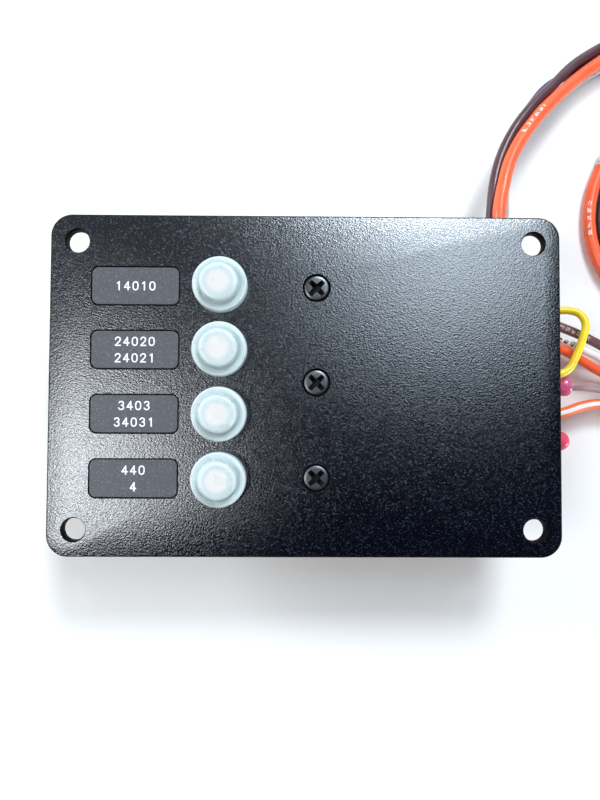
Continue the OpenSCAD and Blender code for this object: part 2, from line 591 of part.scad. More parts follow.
module relay_yokes() color("#8d9093") for (i = RELAYS) at_relay(i) {
    translate([base_x - base_lip - yoke_t, -yoke_w / 2, relay_z - coil_d / 2])
        cube([yoke_t, yoke_w, yoke_top - relay_z + coil_d / 2]);
    translate([armature_x - core_proud, -yoke_w / 2, yoke_top - yoke_t])
        cube([base_x - base_lip - armature_x + core_proud, yoke_w, yoke_t]);
    translate([coil_x - core_proud, 0, relay_z]) rotate([0, 90, 0])
        cylinder(d = core_d, h = coil_len + core_proud + eps);
}
module relay_coils() color("#b5622e") for (i = RELAYS) at_relay(i)
    translate([coil_x, 0, relay_z]) rotate([0, 90, 0]) difference() {
        union() {
            cylinder(d = coil_d, h = coil_len);
            cylinder(d = bobbin_flange_d, h = bobbin_flange_t);
            translate([0, 0, coil_len - bobbin_flange_t]) cylinder(d = bobbin_flange_d, h = bobbin_flange_t);
        }
        translate([0, 0, -1]) cylinder(d = core_d + 2 * fit, h = coil_len + 2);
    }
module relay_armature(i) color("#9a9da0") at_relay(i) {
    translate([armature_x, -armature_w / 2, armature_low])
        cube([armature_t, armature_w, hinge_z - armature_low]);
    translate([hinge_x, 0, hinge_z]) rotate([90, 0, 0]) cylinder(r = hinge_r, h = armature_w, center = true);
}
module relay_socket(i) color("#202124") at_relay(i) difference() {
    union() {
        translate([socket_x, 0, relay_z]) bar_x(socket_w, socket_h, socket_r, socket_len - socket_step);
        translate([socket_x, 0, relay_z]) bar_x(socket_neck_w, socket_neck_h, socket_r, socket_len);
    }
    blade_places() translate([socket_x, 0, 0])
        cube([2 * pocket_depth, relay_blade_w + 2 * fit, blade_t + 2 * fit], center = true);
}

// Countersunk screws through the panel and the relay brackets, with their nuts
module relay_screws() color("#0f0f10") for (i = RELAYS)
    translate([relay_screw_x, relay_y(i), 0]) difference() {
        head_z = face_z - screw_sink - screw_head_h;
        tip_z = back_z - tab_t - nut_t - screw_tail;
        union() {
            translate([0, 0, head_z]) cylinder(d1 = screw_d, d2 = screw_head_d, h = screw_head_h);
            translate([0, 0, tip_z]) cylinder(d = screw_d, h = head_z - tip_z + eps);
        }
        for (a = [45, 135]) rotate([0, 0, a]) translate([0, 0, head_z + screw_head_h])
            cube([recess_len, recess_w, 2 * recess_depth], center = true);
    }
module relay_nuts() color("#b9bcc0") for (i = RELAYS)
    translate([relay_screw_x, relay_y(i), back_z - tab_t - nut_t]) hex_nut(nut_af, nut_t, screw_d + 2 * fit);

// Leads, tails, jumper and what joins them
module lead_orange() color("#f2602d") lead(concat(ORANGE_RUN, lane_points(ORANGE_LANE)), feed_d);
module lead_brown() color("#4a2f38") lead(concat(BROWN_RUN, lane_points(BROWN_LANE)), brown_d);
module lead_blue() color("#26306b") lead(concat(BLUE_RUN, lane_points(BLUE_LANE)), slim_d);
module lead_white() color("#e6e2e4") lead(concat(WHITE_RUN, lane_points(WHITE_LANE)), slim_d);
module tail_brown() color("#54373f") lead(TAIL_BROWN, tail_d);
module tail_white() color("#ece6e6") lead(TAIL_WHITE, thin_tail_d);
module tail_orange() color("#f2602d") lead(TAIL_ORANGE, tail_d);
module tail_grey() color("#8d7078") lead(TAIL_GREY, tail_d);
module tail_striped() color("#f7844f") lead(TAIL_STRIPED, tail_d);
module jumper_yellow() color("#f2d21b") lead(JUMPER, jumper_d);
module splice_stubs() color("#8d7078") {
    lead(SPLICE_STUB, tail_d);
    lead(CAP_STUB, tail_d);
}
module butt_splice() {
    length = splice_ends[1] - splice_ends[0];
    waist = 0.5;
    dent_r = 1.6;
    color("#e0618f") translate([splice_ends[0], TAIL_GREY[0][1], TAIL_GREY[0][2]]) rotate([0, 90, 0])
        difference() {
            cylinder(d = splice_d, h = length);
            for (z = [0.27, 0.73]) translate([0, 0, z * length]) rotate_extrude()
                translate([splice_d / 2 + dent_r - waist, 0]) circle(dent_r);
        }
}
module crimp_cap() {
    length = cap_ends[1] - cap_ends[0];
    color("#e8456f") translate([cap_ends[0], CAP_STUB[4][1], CAP_STUB[4][2]]) rotate([0, 90, 0]) {
        cylinder(d = cap_d, h = length - cap_d / 2);
        translate([0, 0, length - cap_d / 2]) sphere(d = cap_d);
        cylinder(d = cap_d + 0.6, h = 2);
    }
}

echo(spring_gap = least_gap(SPRING, spring_wire, norm(SPRING[1] - SPRING[0])));
function lane_gap(lane, d) = least_gap(curve(lane_points(lane), RING_STEP * d), d, RING_STEP * d / 2);
echo(orange_gap = lane_gap(ORANGE_LANE, feed_d));
echo(brown_gap = lane_gap(BROWN_LANE, brown_d));

panel();
label_plate(1);  // label_plate_1
label_plate(2);  // label_plate_2
label_plate(3);  // label_plate_3
label_plate(4);  // label_plate_4
boot(1);  // boot_1
boot(2);  // boot_2
boot(3);  // boot_3
boot(4);  // boot_4
button(1);  // button_1
button(2);  // button_2
button(3);  // button_3
button(4);  // button_4
contact_bridge(1);  // contact_bridge_1
contact_bridge(2);  // contact_bridge_2
contact_bridge(3);  // contact_bridge_3
contact_bridge(4);  // contact_bridge_4
breaker_case(1);  // breaker_case_1
breaker_case(2);  // breaker_case_2
breaker_case(3);  // breaker_case_3
breaker_case(4);  // breaker_case_4
breaker_covers();
case_rivets();
threaded_necks();
neck_nuts();
return_springs();
bimetal_blades();
line_terminals();
load_terminals();
bus_bar();
push_on_connectors();
relay_cover(1);  // relay_cover_1
relay_cover(2);  // relay_cover_2
relay_cover(3);  // relay_cover_3
relay_socket(1);  // relay_socket_1
relay_socket(2);  // relay_socket_2
relay_socket(3);  // relay_socket_3
relay_armature(1);  // relay_armature_1
relay_armature(2);  // relay_armature_2
relay_armature(3);  // relay_armature_3
relay_brackets();
relay_bases();
relay_blades();
relay_coils();
relay_yokes();
relay_screws();
relay_nuts();
lead_orange();
lead_brown();
lead_blue();
lead_white();
tail_brown();
tail_white();
tail_orange();
tail_grey();
tail_striped();
jumper_yellow();
splice_stubs();
butt_splice();
crimp_cap();
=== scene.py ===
"""Looks of a circuit breaker panel: booted reset buttons, label plates, relays and leads.

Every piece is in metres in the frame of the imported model: X runs along the panel, Y up it and Z out
of its face, and the part lies on the plane z = 0. Sizes in the classes below are in millimetres.
"""

from __future__ import annotations

import logging
import math
from dataclasses import dataclass, field, fields
from enum import Enum
from typing import Any, Iterable, Optional, Sequence

import bmesh
import bpy
from mathutils import Matrix, Vector

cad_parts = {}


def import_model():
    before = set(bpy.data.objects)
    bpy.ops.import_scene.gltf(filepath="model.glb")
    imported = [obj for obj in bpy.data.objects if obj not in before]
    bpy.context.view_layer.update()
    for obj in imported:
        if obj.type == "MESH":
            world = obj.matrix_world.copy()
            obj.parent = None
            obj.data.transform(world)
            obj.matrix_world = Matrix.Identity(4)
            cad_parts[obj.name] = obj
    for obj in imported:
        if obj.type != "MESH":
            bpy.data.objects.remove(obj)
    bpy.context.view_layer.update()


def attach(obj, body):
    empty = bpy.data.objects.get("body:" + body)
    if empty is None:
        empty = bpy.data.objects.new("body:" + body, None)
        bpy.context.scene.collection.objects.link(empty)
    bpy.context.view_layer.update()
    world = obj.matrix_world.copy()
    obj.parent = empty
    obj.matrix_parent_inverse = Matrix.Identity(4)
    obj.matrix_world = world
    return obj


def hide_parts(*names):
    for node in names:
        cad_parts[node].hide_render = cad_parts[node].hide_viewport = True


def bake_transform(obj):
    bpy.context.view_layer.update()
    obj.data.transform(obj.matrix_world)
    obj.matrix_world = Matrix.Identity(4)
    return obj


LOG = logging.getLogger("breaker_panel")
MM = 0.001
PANEL_BODY = "panel"
FACE_Z = 36.2
BACK_Z = 33.0
ROW_Y = 0.8
BREAKER_X = -25.4
BREAKER_PITCH = 19.05
RELAY_PITCH = 28.3
SCREW_X = 3.175
LABEL_X = -50.8
LABEL_POCKET = 0.5
STRAND_RINGS = ((0.0, 1), (2.0, 6), (3.6, 11))
LEAD_STEP = 1.3
STUB_STEP = 1.2
LEAD_UV = "along"
PRINT_CELL = 0.0005
PRINT_ROWS = 5.0
DUST_SHARE = 0.12
MARK_ROUGHNESS = 0.25
COAT_ROUGHNESS = 0.08
BREAKERS = (1, 2, 3, 4)
RELAYS = (1, 2, 3)

Colour = tuple[float, float, float]
Point = tuple[float, float, float]
Flat = tuple[float, float]
Ring = list[bmesh.types.BMVert]


def rgba(colour: Colour) -> tuple[float, float, float, float]:
    """A colour with full alpha."""
    return (*colour, 1.0)


def link_object(name: str, data: Any) -> bpy.types.Object:
    """A new object in the scene.

    Args:
        name: the object's name.
        data: its mesh, camera or light.

    Returns:
        The object.
    """
    made = bpy.data.objects.new(name, data)
    bpy.context.scene.collection.objects.link(made)
    return made


def breaker_y(index: int) -> float:
    """Y of one breaker's axis, in millimetres."""
    return ROW_Y + (2.5 - index) * BREAKER_PITCH


def relay_y(index: int) -> float:
    """Y of one relay's axis, in millimetres."""
    return ROW_Y + (2 - index) * RELAY_PITCH


class Graph:
    """A node tree with short calls for adding and joining nodes."""

    def __init__(self, tree: bpy.types.NodeTree) -> None:
        """Keeps the tree that nodes are added to."""
        self.tree = tree

    def add(self, kind: str, inputs: Optional[dict[Any, Any]] = None,
            **settings: Any) -> bpy.types.Node:
        """Adds one node.

        Args:
            kind: Blender's name of the node type.
            inputs: socket name or number to a value or to another node's output.
            settings: the node's own properties.

        Returns:
            The new node.
        """
        node = self.tree.nodes.new(kind)
        for key, value in settings.items():
            setattr(node, key, value)
        for key, value in (inputs or {}).items():
            self.feed(node.inputs[key], value)
        return node

    def feed(self, socket: bpy.types.NodeSocket, value: Any) -> None:
        """Joins an output to a socket, or writes a plain value on it.

        Args:
            socket: the input.
            value: an output to join to it, or a plain value.
        """
        if isinstance(value, bpy.types.NodeSocket):
            self.tree.links.new(value, socket)
        else:
            socket.default_value = value

    def math(self, operation: str, first: Any, second: Any = 0.0) -> bpy.types.NodeSocket:
        """One arithmetic step on two values."""
        return self.add("ShaderNodeMath", {0: first, 1: second}, operation=operation).outputs[0]

    def mix(self, share: Any, first: Any, second: Any) -> bpy.types.NodeSocket:
        """Two colours mixed by a share of the second."""
        return self.add("ShaderNodeMix", {0: share, 6: first, 7: second},
                        data_type="RGBA").outputs[2]

    def spread(self, value: Any, low: float, high: float, to_low: float,
               to_high: float) -> bpy.types.NodeSocket:
        """A value carried from one range to another, smoothly and without overshoot.

        Args:
            value: the value.
            low: the start of its range.
            high: the end of its range.
            to_low: what the start becomes.
            to_high: what the end becomes.

        Returns:
            The new value.
        """
        inputs = {"Value": value, "From Min": low, "From Max": high, "To Min": to_low,
                  "To Max": to_high}
        return self.add("ShaderNodeMapRange", inputs, interpolation_type="SMOOTHSTEP").outputs[0]

    def noise(self, where: Any, scale: Any, detail: float = 2.0) -> bpy.types.NodeSocket:
        """Noise at a scale, as a value about a half."""
        return self.add("ShaderNodeTexNoise",
                        {"Vector": where, "Scale": scale, "Detail": detail}).outputs[0]

    def weighted(self, *terms: tuple[Any, Any]) -> bpy.types.NodeSocket:
        """The sum of some values, each times its weight.

        Args:
            terms: pairs of a value and its weight.

        Returns:
            The sum.
        """
        total, *rest = [self.math("MULTIPLY", value, weight) for value, weight in terms]
        for part in rest:
            total = self.math("ADD", total, part)
        return total

    def where(self, kind: str = "Object") -> bpy.types.NodeSocket:
        """Where a point lies, in one kind of texture coordinates."""
        return self.add("ShaderNodeTexCoord").outputs[kind]

    def group(self, name: str, **inputs: Any) -> bpy.types.Node:
        """Places one of the shared groups with its own values."""
        return self.add("ShaderNodeGroup", inputs, node_tree=bpy.data.node_groups[name])


class Grain(Enum):
    """The shared surface textures, each a node group with a Scale input, a Height and a Shade."""

    COAT = "coat_grain"
    MOULDED = "moulded_grain"
    BRUSHED = "brushed_grain"
    SMOOTH = "smooth_grain"


@dataclass(frozen=True)
class PlainGrain:
    """A grain of plain noise: its scale and detail, how it is drawn out, and its shade's scale."""

    grain: Grain
    scale: float
    detail: float
    shade_scale: float
    drawn: Point = (1.0, 1.0, 1.0)
    shade_detail: float = 3.0


MOULDED_GRAIN = PlainGrain(Grain.MOULDED, 4000.0, 4.0, 0.05)
BRUSHED_GRAIN = PlainGrain(Grain.BRUSHED, 900.0, 3.0, 0.3, (0.12, 2.5, 2.5))
SMOOTH_GRAIN = PlainGrain(Grain.SMOOTH, 350.0, 1.0, 0.4)


class SurfaceGroups:
    """The node groups that the finishes place."""

    @staticmethod
    def _start(name: str, inputs: dict[str, float],
               outputs: Sequence[str]) -> tuple[Graph, Any, Any]:
        """A new group with its sockets.

        Args:
            name: the group's name.
            inputs: input names with their default values.
            outputs: output names.

        Returns:
            The graph, the group's input node and its output node.
        """
        tree = bpy.data.node_groups.new(name, "ShaderNodeTree")
        for key, value in inputs.items():
            socket = tree.interface.new_socket(key, in_out="INPUT", socket_type="NodeSocketFloat")
            socket.default_value = value
        for key in outputs:
            tree.interface.new_socket(key, in_out="OUTPUT", socket_type="NodeSocketFloat")
        graph = Graph(tree)
        return graph, graph.add("NodeGroupInput"), graph.add("NodeGroupOutput")

    def build(self) -> None:
        """Makes all the groups."""
        self._coat()
        for plain in (MOULDED_GRAIN, BRUSHED_GRAIN, SMOOTH_GRAIN):
            self._plain(plain)
        self._marks()
        self._core_tone()
        self._line_print()

    def _coat(self) -> None:
        """Leathery powder coat: soft pebbles broken by finer wrinkles."""
        graph, start, end = self._start(Grain.COAT.value, {"Scale": 1200.0}, ("Height", "Shade"))
        where = graph.where()
        scale = start.outputs["Scale"]
        ripple = graph.add("ShaderNodeMapping", {
            "Vector": where, "Rotation": (0.0, 0.0, 0.25), "Scale": (0.8, 1.0, 1.0)}).outputs[0]
        cells = {"Vector": ripple, "Scale": scale, "Smoothness": 0.8}
        pebbles = graph.add("ShaderNodeTexVoronoi", cells, feature="SMOOTH_F1").outputs["Distance"]
        wrinkles = graph.noise(ripple, scale)
        specks = graph.noise(where, graph.math("MULTIPLY", scale, 4.0), 1.0)
        height = graph.weighted((pebbles, 0.15), (wrinkles, 0.6), (specks, 0.17))
        graph.feed(end.inputs["Height"], height)
        sparks = graph.noise(ripple, graph.math("MULTIPLY", scale, 1.3), 1.0)
        graph.feed(end.inputs["Shade"], graph.spread(sparks, 0.52, 0.7, 0.3, 0.7))

    def _plain(self, kind: PlainGrain) -> None:
        """The grain of moulded plastic, of brushed metal along X or of a smooth extruded skin.

        Args:
            kind: the grain.
        """
        sockets = {"Scale": kind.scale}
        graph, start, end = self._start(kind.grain.value, sockets, ("Height", "Shade"))
        where = graph.where()
        scale = start.outputs["Scale"]
        drawn = graph.add("ShaderNodeMapping", {"Vector": where, "Scale": kind.drawn}).outputs[0]
        graph.feed(end.inputs["Height"], graph.noise(drawn, scale, kind.detail))
        coarse = graph.math("MULTIPLY", scale, kind.shade_scale)
        graph.feed(end.inputs["Shade"], graph.noise(where, coarse, kind.shade_detail))

    def _marks(self) -> None:
        """Smudges and dust from handling, as a mask."""
        graph, start, end = self._start("handling_marks", {"Scale": 60.0, "Cover": 0.45}, ("Mask",))
        where = graph.where()
        broad = graph.noise(where, start.outputs["Scale"], 4.0)
        specks = graph.noise(where, graph.math("MULTIPLY", start.outputs["Scale"], 14.0))
        value = graph.weighted((broad, 0.75), (specks, 0.25))
        over = graph.math("SUBTRACT", value, graph.math("SUBTRACT", 1.0, start.outputs["Cover"]))
        graph.feed(end.inputs["Mask"], graph.spread(over, -0.04, 0.1, 0.0, 1.0))

    def _core_tone(self) -> None:
        """The middle of a round piece, where what is under a milky skin shows, as a mask."""
        graph, start, end = self._start("core_tone", {"Radius": 0.2}, ("Mask",))
        split = graph.add("ShaderNodeSeparateXYZ", {0: graph.where("Generated")}).outputs
        across, along = (graph.math("SUBTRACT", split[k], 0.5) for k in (0, 1))
        square = graph.weighted((across, across), (along, along))
        share = graph.math("DIVIDE", graph.math("SQRT", square, 0.0), start.outputs["Radius"])
        graph.feed(end.inputs["Mask"], graph.spread(share, 0.7, 1.35, 1.0, 0.0))

    def _line_print(self) -> None:
        """Marks along a lead from its UV map: a line at one place round it, broken into dashes."""
        sockets = LinePrint((0.0, 0.0, 0.0)).sockets()
        graph, start, end = self._start("line_print", sockets, ("Mask",))
        given = start.outputs
        split = graph.add("ShaderNodeSeparateXYZ", {
            0: graph.add("ShaderNodeUVMap", uv_map=LEAD_UV).outputs[0]}).outputs
        along, around = graph.math("SUBTRACT", split[0], given["Phase"]), split[1]
        past = graph.math("SUBTRACT", around, given["Place"])
        off = graph.math("ABSOLUTE", past)
        off = graph.math("MINIMUM", off, graph.math("SUBTRACT", 1.0, off))
        line = graph.math("LESS_THAN", off, graph.math("MULTIPLY", given["Width"], 0.5))
        for period, share in (("Period", "Share"), ("Dash", "Dash Share")):
            run = graph.math("FRACT", graph.math("DIVIDE", along, given[period]))
            line = graph.math("MULTIPLY", line, graph.math("LESS_THAN", run, given[share]))
        across = graph.math("DIVIDE", past, given["Width"])
        cell = graph.add("ShaderNodeCombineXYZ", {
            0: graph.math("FLOOR", graph.math("DIVIDE", along, PRINT_CELL)),
            1: graph.math("FLOOR", graph.math("MULTIPLY", across, PRINT_ROWS))}).outputs[0]
        speck = graph.add("ShaderNodeTexWhiteNoise", {"Vector": cell}).outputs["Value"]
        line = graph.math("MULTIPLY", line, graph.math("GREATER_THAN", speck, given["Broken"]))
        graph.feed(end.inputs["Mask"], line)


@dataclass(frozen=True)
class LinePrint:
    """A stripe or a row of dashes printed along a lead."""

    colour: Colour
    place: float = 0.25
    width: float = 0.1
    period: float = 0.04
    share: float = 1.0
    dash: float = 0.003
    dash_share: float = 1.0
    broken: float = 0.0
    phase: float = 0.0

    def sockets(self) -> dict[str, float]:
        """Its values by the names of the print group's inputs."""
        named = [f.name for f in fields(self) if f.name != "colour"]
        return {name.replace("_", " ").title(): getattr(self, name) for name in named}


@dataclass(frozen=True)
class Finish:
    """One finish of the part: its colour and gloss, its grain and how it varies."""

    name: str
    colour: Colour
    roughness: float = 0.45
    metallic: float = 0.0
    grain: Grain = Grain.MOULDED
    scale: float = 4000.0
    depth: float = 0.00002
    shade: float = 0.25
    uneven: float = 0.12
    marks: float = 0.15
    mark_colour: Colour = (0.35, 0.35, 0.36)
    coat: float = 0.0
    specular: float = 0.5
    ior: float = 1.5
    tint: Colour = (1.0, 1.0, 1.0)
    subsurface: float = 0.0
    subsurface_scale: float = 0.002
    transmission: float = 0.0
    core_colour: Optional[Colour] = None
    core_share: float = 0.0
    line: Optional[LinePrint] = None

    def material(self) -> bpy.types.Material:
        """The finish as a material, made once.

        Returns:
            The material, with its shader, its grain and its marks.
        """
        made = bpy.data.materials.get(self.name)
        if made is not None:
            return made
        made = bpy.data.materials.new(self.name)
        made.use_nodes = True
        graph = Graph(made.node_tree)
        shader = made.node_tree.nodes["Principled BSDF"]
        self._constants(shader)
        grain = graph.group(self.grain.value, Scale=self.scale)
        marks = graph.group("handling_marks").outputs["Mask"]
        light = rgba(tuple(min(1.0, c * (1 + self.shade)) for c in self.colour))
        dark = rgba(tuple(c * (1 - self.shade) for c in self.colour))
        colour = graph.mix(graph.spread(grain.outputs["Shade"], 0.3, 0.7, 0.0, 1.0), dark, light)
        dust = graph.math("MULTIPLY", marks, DUST_SHARE * self.marks)
        colour = graph.mix(dust, colour, rgba(self.mark_colour))
        if self.core_colour is not None:
            core = graph.group("core_tone", Radius=self.core_share).outputs["Mask"]
            colour = graph.mix(core, colour, rgba(self.core_colour))
        if self.line is not None:
            line = graph.group("line_print", **self.line.sockets()).outputs["Mask"]
            colour = graph.mix(line, colour, rgba(self.line.colour))
        graph.feed(shader.inputs["Base Color"], colour)
        low, high = self.roughness - self.uneven / 2, self.roughness + self.uneven / 2
        rough = graph.spread(grain.outputs["Shade"], 0.25, 0.75, low, high)
        rough = graph.math("ADD", rough, graph.math("MULTIPLY", marks, self.marks * MARK_ROUGHNESS))
        graph.feed(shader.inputs["Roughness"], rough)
        bump = graph.add("ShaderNodeBump", {
            "Strength": 1.0, "Distance": self.depth, "Height": grain.outputs["Height"]})
        graph.feed(shader.inputs["Normal"], bump.outputs[0])
        return made

    def _constants(self, shader: bpy.types.Node) -> None:
        """Writes what is the same all over the surface on the shader's own sockets.

        Args:
            shader: the material's shader.
        """
        values = {
            "Metallic": self.metallic, "Coat Weight": self.coat, "Coat Roughness": COAT_ROUGHNESS,
            "Specular IOR Level": self.specular, "Specular Tint": rgba(self.tint), "IOR": self.ior,
            "Subsurface Weight": self.subsurface, "Subsurface Scale": self.subsurface_scale,
            "Subsurface Radius": (1.0, 1.0, 1.0), "Transmission Weight": self.transmission}
        for key, value in values.items():
            shader.inputs[key].default_value = value


WHITE_PRINT = LinePrint((0.9, 0.86, 0.84), place=0.32, width=0.09, period=0.052, share=0.26,
                        dash=0.0026, dash_share=0.62, broken=0.5, phase=0.0145)
DARK_PRINT = LinePrint((0.05, 0.03, 0.035), place=0.22, width=0.17, period=0.026, share=0.55,
                       dash=0.0022, dash_share=0.75, broken=0.4)
GREY_PRINT = LinePrint((0.45, 0.4, 0.4), place=0.22, width=0.14, period=0.03, share=0.5,
                       dash=0.0021, dash_share=0.75, broken=0.45)
PALE_STRIPE = LinePrint((0.86, 0.82, 0.78), place=0.27, width=0.12)

POWDER_COAT = Finish("black_powder_coat", (0.0012, 0.003, 0.0125), 0.225, grain=Grain.COAT,
                     scale=2050.0, depth=0.00012, shade=0.7, uneven=0.2, marks=0.01, specular=0.8,
                     ior=1.8, tint=(0.9, 0.95, 1.0))
# painted shade: a rough, low-gloss coat that keeps the plate's rim, hole walls and pockets dark
DULL_EDGE_SHADE = Finish("dull_edge_painted_shade", (0.0035, 0.004, 0.007), 0.6, grain=Grain.COAT, scale=2200.0,
                   depth=0.00008, shade=0.8, uneven=0.02, marks=0.02, specular=0.16)
LABEL_SATIN = Finish("charcoal_label", (0.066, 0.075, 0.1), 0.55, grain=Grain.COAT, scale=1900.0,
                     depth=0.00006, shade=0.35, uneven=0.04, marks=0.02, specular=0.75)
ENGRAVING = Finish("white_engraving", (0.86, 0.87, 0.88), 0.55, scale=5000.0, depth=0.00001,
                   shade=0.04)
SILICONE = Finish("milky_silicone", (0.58, 0.69, 0.72), 0.3, grain=Grain.SMOOTH, scale=500.0,
                  depth=0.00003, shade=0.02, uneven=0.08, marks=0.0, ior=1.41, subsurface=1.0,
                  subsurface_scale=0.0032, transmission=0.1, core_colour=(0.92, 0.97, 0.98),
                  core_share=0.19)
BUTTON_WHITE = Finish("white_button", (0.88, 0.9, 0.9), 0.25, scale=3000.0, depth=0.000006,
                      shade=0.03)
CASE_BLACK = Finish("black_phenolic", (0.022, 0.022, 0.024), 0.42, scale=2600.0, depth=0.00003,
                    shade=0.2, marks=0.5)
RELAY_BLACK = Finish("black_relay_cover", (0.018, 0.018, 0.02), 0.36, scale=3600.0, depth=0.00002,
                     marks=0.5)
SOCKET_BLACK = Finish("black_socket", (0.024, 0.024, 0.026), 0.5, scale=2200.0, depth=0.00004,
                      marks=0.5)
BASE_BROWN = Finish("brown_relay_base", (0.07, 0.045, 0.035), 0.45, scale=3000.0, depth=0.00002)
NYLON = Finish("clear_nylon", (0.8, 0.82, 0.84), 0.3, grain=Grain.SMOOTH, scale=600.0,
               depth=0.00002, shade=0.04, transmission=0.45, ior=1.53)
SCREW_BLACK = Finish("black_zinc_screw", (0.008, 0.011, 0.017), 0.34, scale=1800.0, depth=0.00003,
                     shade=0.15, specular=0.8, ior=1.75, tint=(0.9, 0.95, 1.0))
# painted shade: darker and duller than the screw head, for the inside of the cross recess
RECESS_SHADE_BLACK = Finish("recess_painted_shade", (0.004, 0.004, 0.005), 0.6, scale=2400.0, depth=0.00002,
                      marks=0.0, specular=0.2)
SOLDER = Finish("solder", (0.6, 0.6, 0.6), 0.25, 1.0, Grain.SMOOTH, 900.0, 0.00004, 0.1)


def insulation(name: str, colour: Colour, line: Optional[LinePrint] = None,
               shade: float = 0.06) -> Finish:
    """The glossy insulation of a lead.

    Args:
        name: the finish's name.
        colour: its colour.
        line: what is printed along it, if anything.
        shade: how far the colour varies.

    Returns:
        The finish.
    """
    return Finish(name, colour, 0.4, grain=Grain.SMOOTH, scale=420.0, depth=0.00003, shade=shade,
                  uneven=0.1, marks=0.15, coat=0.15, subsurface=0.12, subsurface_scale=0.0012,
                  line=line)


def sleeve(name: str, colour: Colour, roughness: float, transmission: float) -> Finish:
    """The clear coloured plastic over a crimp.

    Args:
        name: the finish's name.
        colour: its colour.
        roughness: how dull it is.
        transmission: how far it is seen through.

    Returns:
        The finish.
    """
    return Finish(name, colour, roughness, grain=Grain.SMOOTH, scale=600.0, depth=0.00003,
                  shade=0.06, transmission=transmission, subsurface=0.3, subsurface_scale=0.001)


def metal(name: str, colour: Colour, roughness: float, scale: float, depth: float,
          shade: float = 0.12, uneven: float = 0.12) -> Finish:
    """Bare or plated metal with brushed lines.

    Args:
        name: the finish's name.
        colour: its colour.
        roughness: how dull it is.
        scale: the scale of its lines.
        depth: how deep they are, in metres.
        shade: how far the colour varies.
        uneven: how far the roughness varies.

    Returns:
        The finish.
    """
    return Finish(name, colour, roughness, 1.0, Grain.BRUSHED, scale, depth, shade, uneven)


NICKEL = metal("nickel_plate", (0.62, 0.62, 0.62), 0.28, 1500.0, 0.000008)
SPRING_STEEL = metal("spring_steel", (0.5, 0.5, 0.51), 0.3, 2500.0, 0.000005, 0.1)
IRON = metal("zinc_plated_iron", (0.45, 0.46, 0.47), 0.42, 900.0, 0.00001, 0.18, 0.18)
BRASS = metal("brass_strip", (0.78, 0.57, 0.26), 0.3, 1300.0, 0.000008, 0.14, 0.14)
COPPER = metal("bare_copper", (0.78, 0.4, 0.22), 0.32, 900.0, 0.00001, 0.2, 0.16)
TINNED = metal("tinned_copper", (0.7, 0.66, 0.6), 0.35, 1800.0, 0.000008)
WINDING = Finish("enamelled_winding", (0.5, 0.2, 0.07), 0.3, 0.6, Grain.BRUSHED, 1800.0,
                 depth=0.00003)
ORANGE = insulation("orange_insulation", (0.9, 0.12, 0.035), WHITE_PRINT)
ORANGE_PLAIN = insulation("plain_orange_insulation", (0.88, 0.11, 0.03))
BROWN = insulation("brown_insulation", (0.076, 0.03, 0.042), shade=0.12)
BROWN_PRINTED = insulation("printed_brown_insulation", (0.13, 0.05, 0.055), GREY_PRINT, 0.12)
NAVY = insulation("navy_insulation", (0.016, 0.024, 0.12), shade=0.12)
WHITE = insulation("white_insulation", (0.46, 0.4, 0.41), shade=0.03)
WHITE_PRINTED = insulation("printed_white_insulation", (0.82, 0.78, 0.78), DARK_PRINT, 0.03)
GREY = insulation("grey_brown_insulation", (0.36, 0.23, 0.25), shade=0.08)
STRIPED = insulation("striped_insulation", (0.9, 0.17, 0.05), PALE_STRIPE)
YELLOW = insulation("yellow_insulation", (0.92, 0.7, 0.015))
PINK_SLEEVE = sleeve("pink_sleeve", (0.95, 0.22, 0.46), 0.22, 0.45)
RED_SLEEVE = sleeve("pink_red_cap", (0.95, 0.1, 0.2), 0.24, 0.3)


def polar(centre: Flat, radius: float, angle: float) -> Flat:
    """The point at a distance and an angle from a centre."""
    return (centre[0] + radius * math.cos(angle), centre[1] + radius * math.sin(angle))


def outline_circle(centre: Flat, radius: float, sides: int = 64) -> list[Flat]:
    """Points of a circle, anticlockwise."""
    turn = 2 * math.pi / sides
    return [polar(centre, radius, k * turn) for k in range(sides)]


def outline_rounded(centre: Flat, width: float, height: float, radius: float,
                    steps: int = 12) -> list[Flat]:
    """Points of a rounded rectangle, anticlockwise.

    Args:
        centre: its middle.
        width: its size along X.
        height: its size along Y.
        radius: the radius of its corners.
        steps: the points on each corner, less one.

    Returns:
        The points.
    """
    points = []
    for quarter, (sx, sy) in enumerate(((1, 1), (-1, 1), (-1, -1), (1, -1))):
        middle = (centre[0] + sx * (width / 2 - radius), centre[1] + sy * (height / 2 - radius))
        for k in range(steps + 1):
            points.append(polar(middle, radius, (quarter + k / steps) * math.pi / 2))
    return points


def unit_slopes(points: Sequence[Vector]) -> list[Vector]:
    """The direction of a curve at each of its points, from their neighbours.

    Args:
        points: the curve's points.

    Returns:
        One unit vector for each point.
    """
    slopes = [(points[1] - points[0]).normalized()]
    for before, here, after in zip(points, points[1:], points[2:]):
        back, ahead = here - before, after - here
        slope = back.normalized() * ahead.length + ahead.normalized() * back.length
        slopes.append(slope.normalized())
    slopes.append((points[-1] - points[-2]).normalized())
    return slopes


def smooth_curve(points: Sequence[Sequence[float]], step: float) -> list[Vector]:
    """A smooth curve through chosen points.

    Args:
        points: the points it goes through.
        step: the distance between the points of the result, in the same unit.

    Returns:
        The curve's points.
    """
    nodes = [Vector(p) for p in points]
    slopes = unit_slopes(nodes)
    curve = []
    for a, b, sa, sb in zip(nodes, nodes[1:], slopes, slopes[1:]):
        reach = (b - a).length
        count = max(1, math.ceil(reach / step))
        for k in range(count):
            t = k / count
            curve.append(a * (2 * t**3 - 3 * t**2 + 1) + sa * reach * (t**3 - 2 * t**2 + t)
                         + b * (3 * t**2 - 2 * t**3) + sb * reach * (t**3 - t**2))
    curve.append(nodes[-1])
    return curve


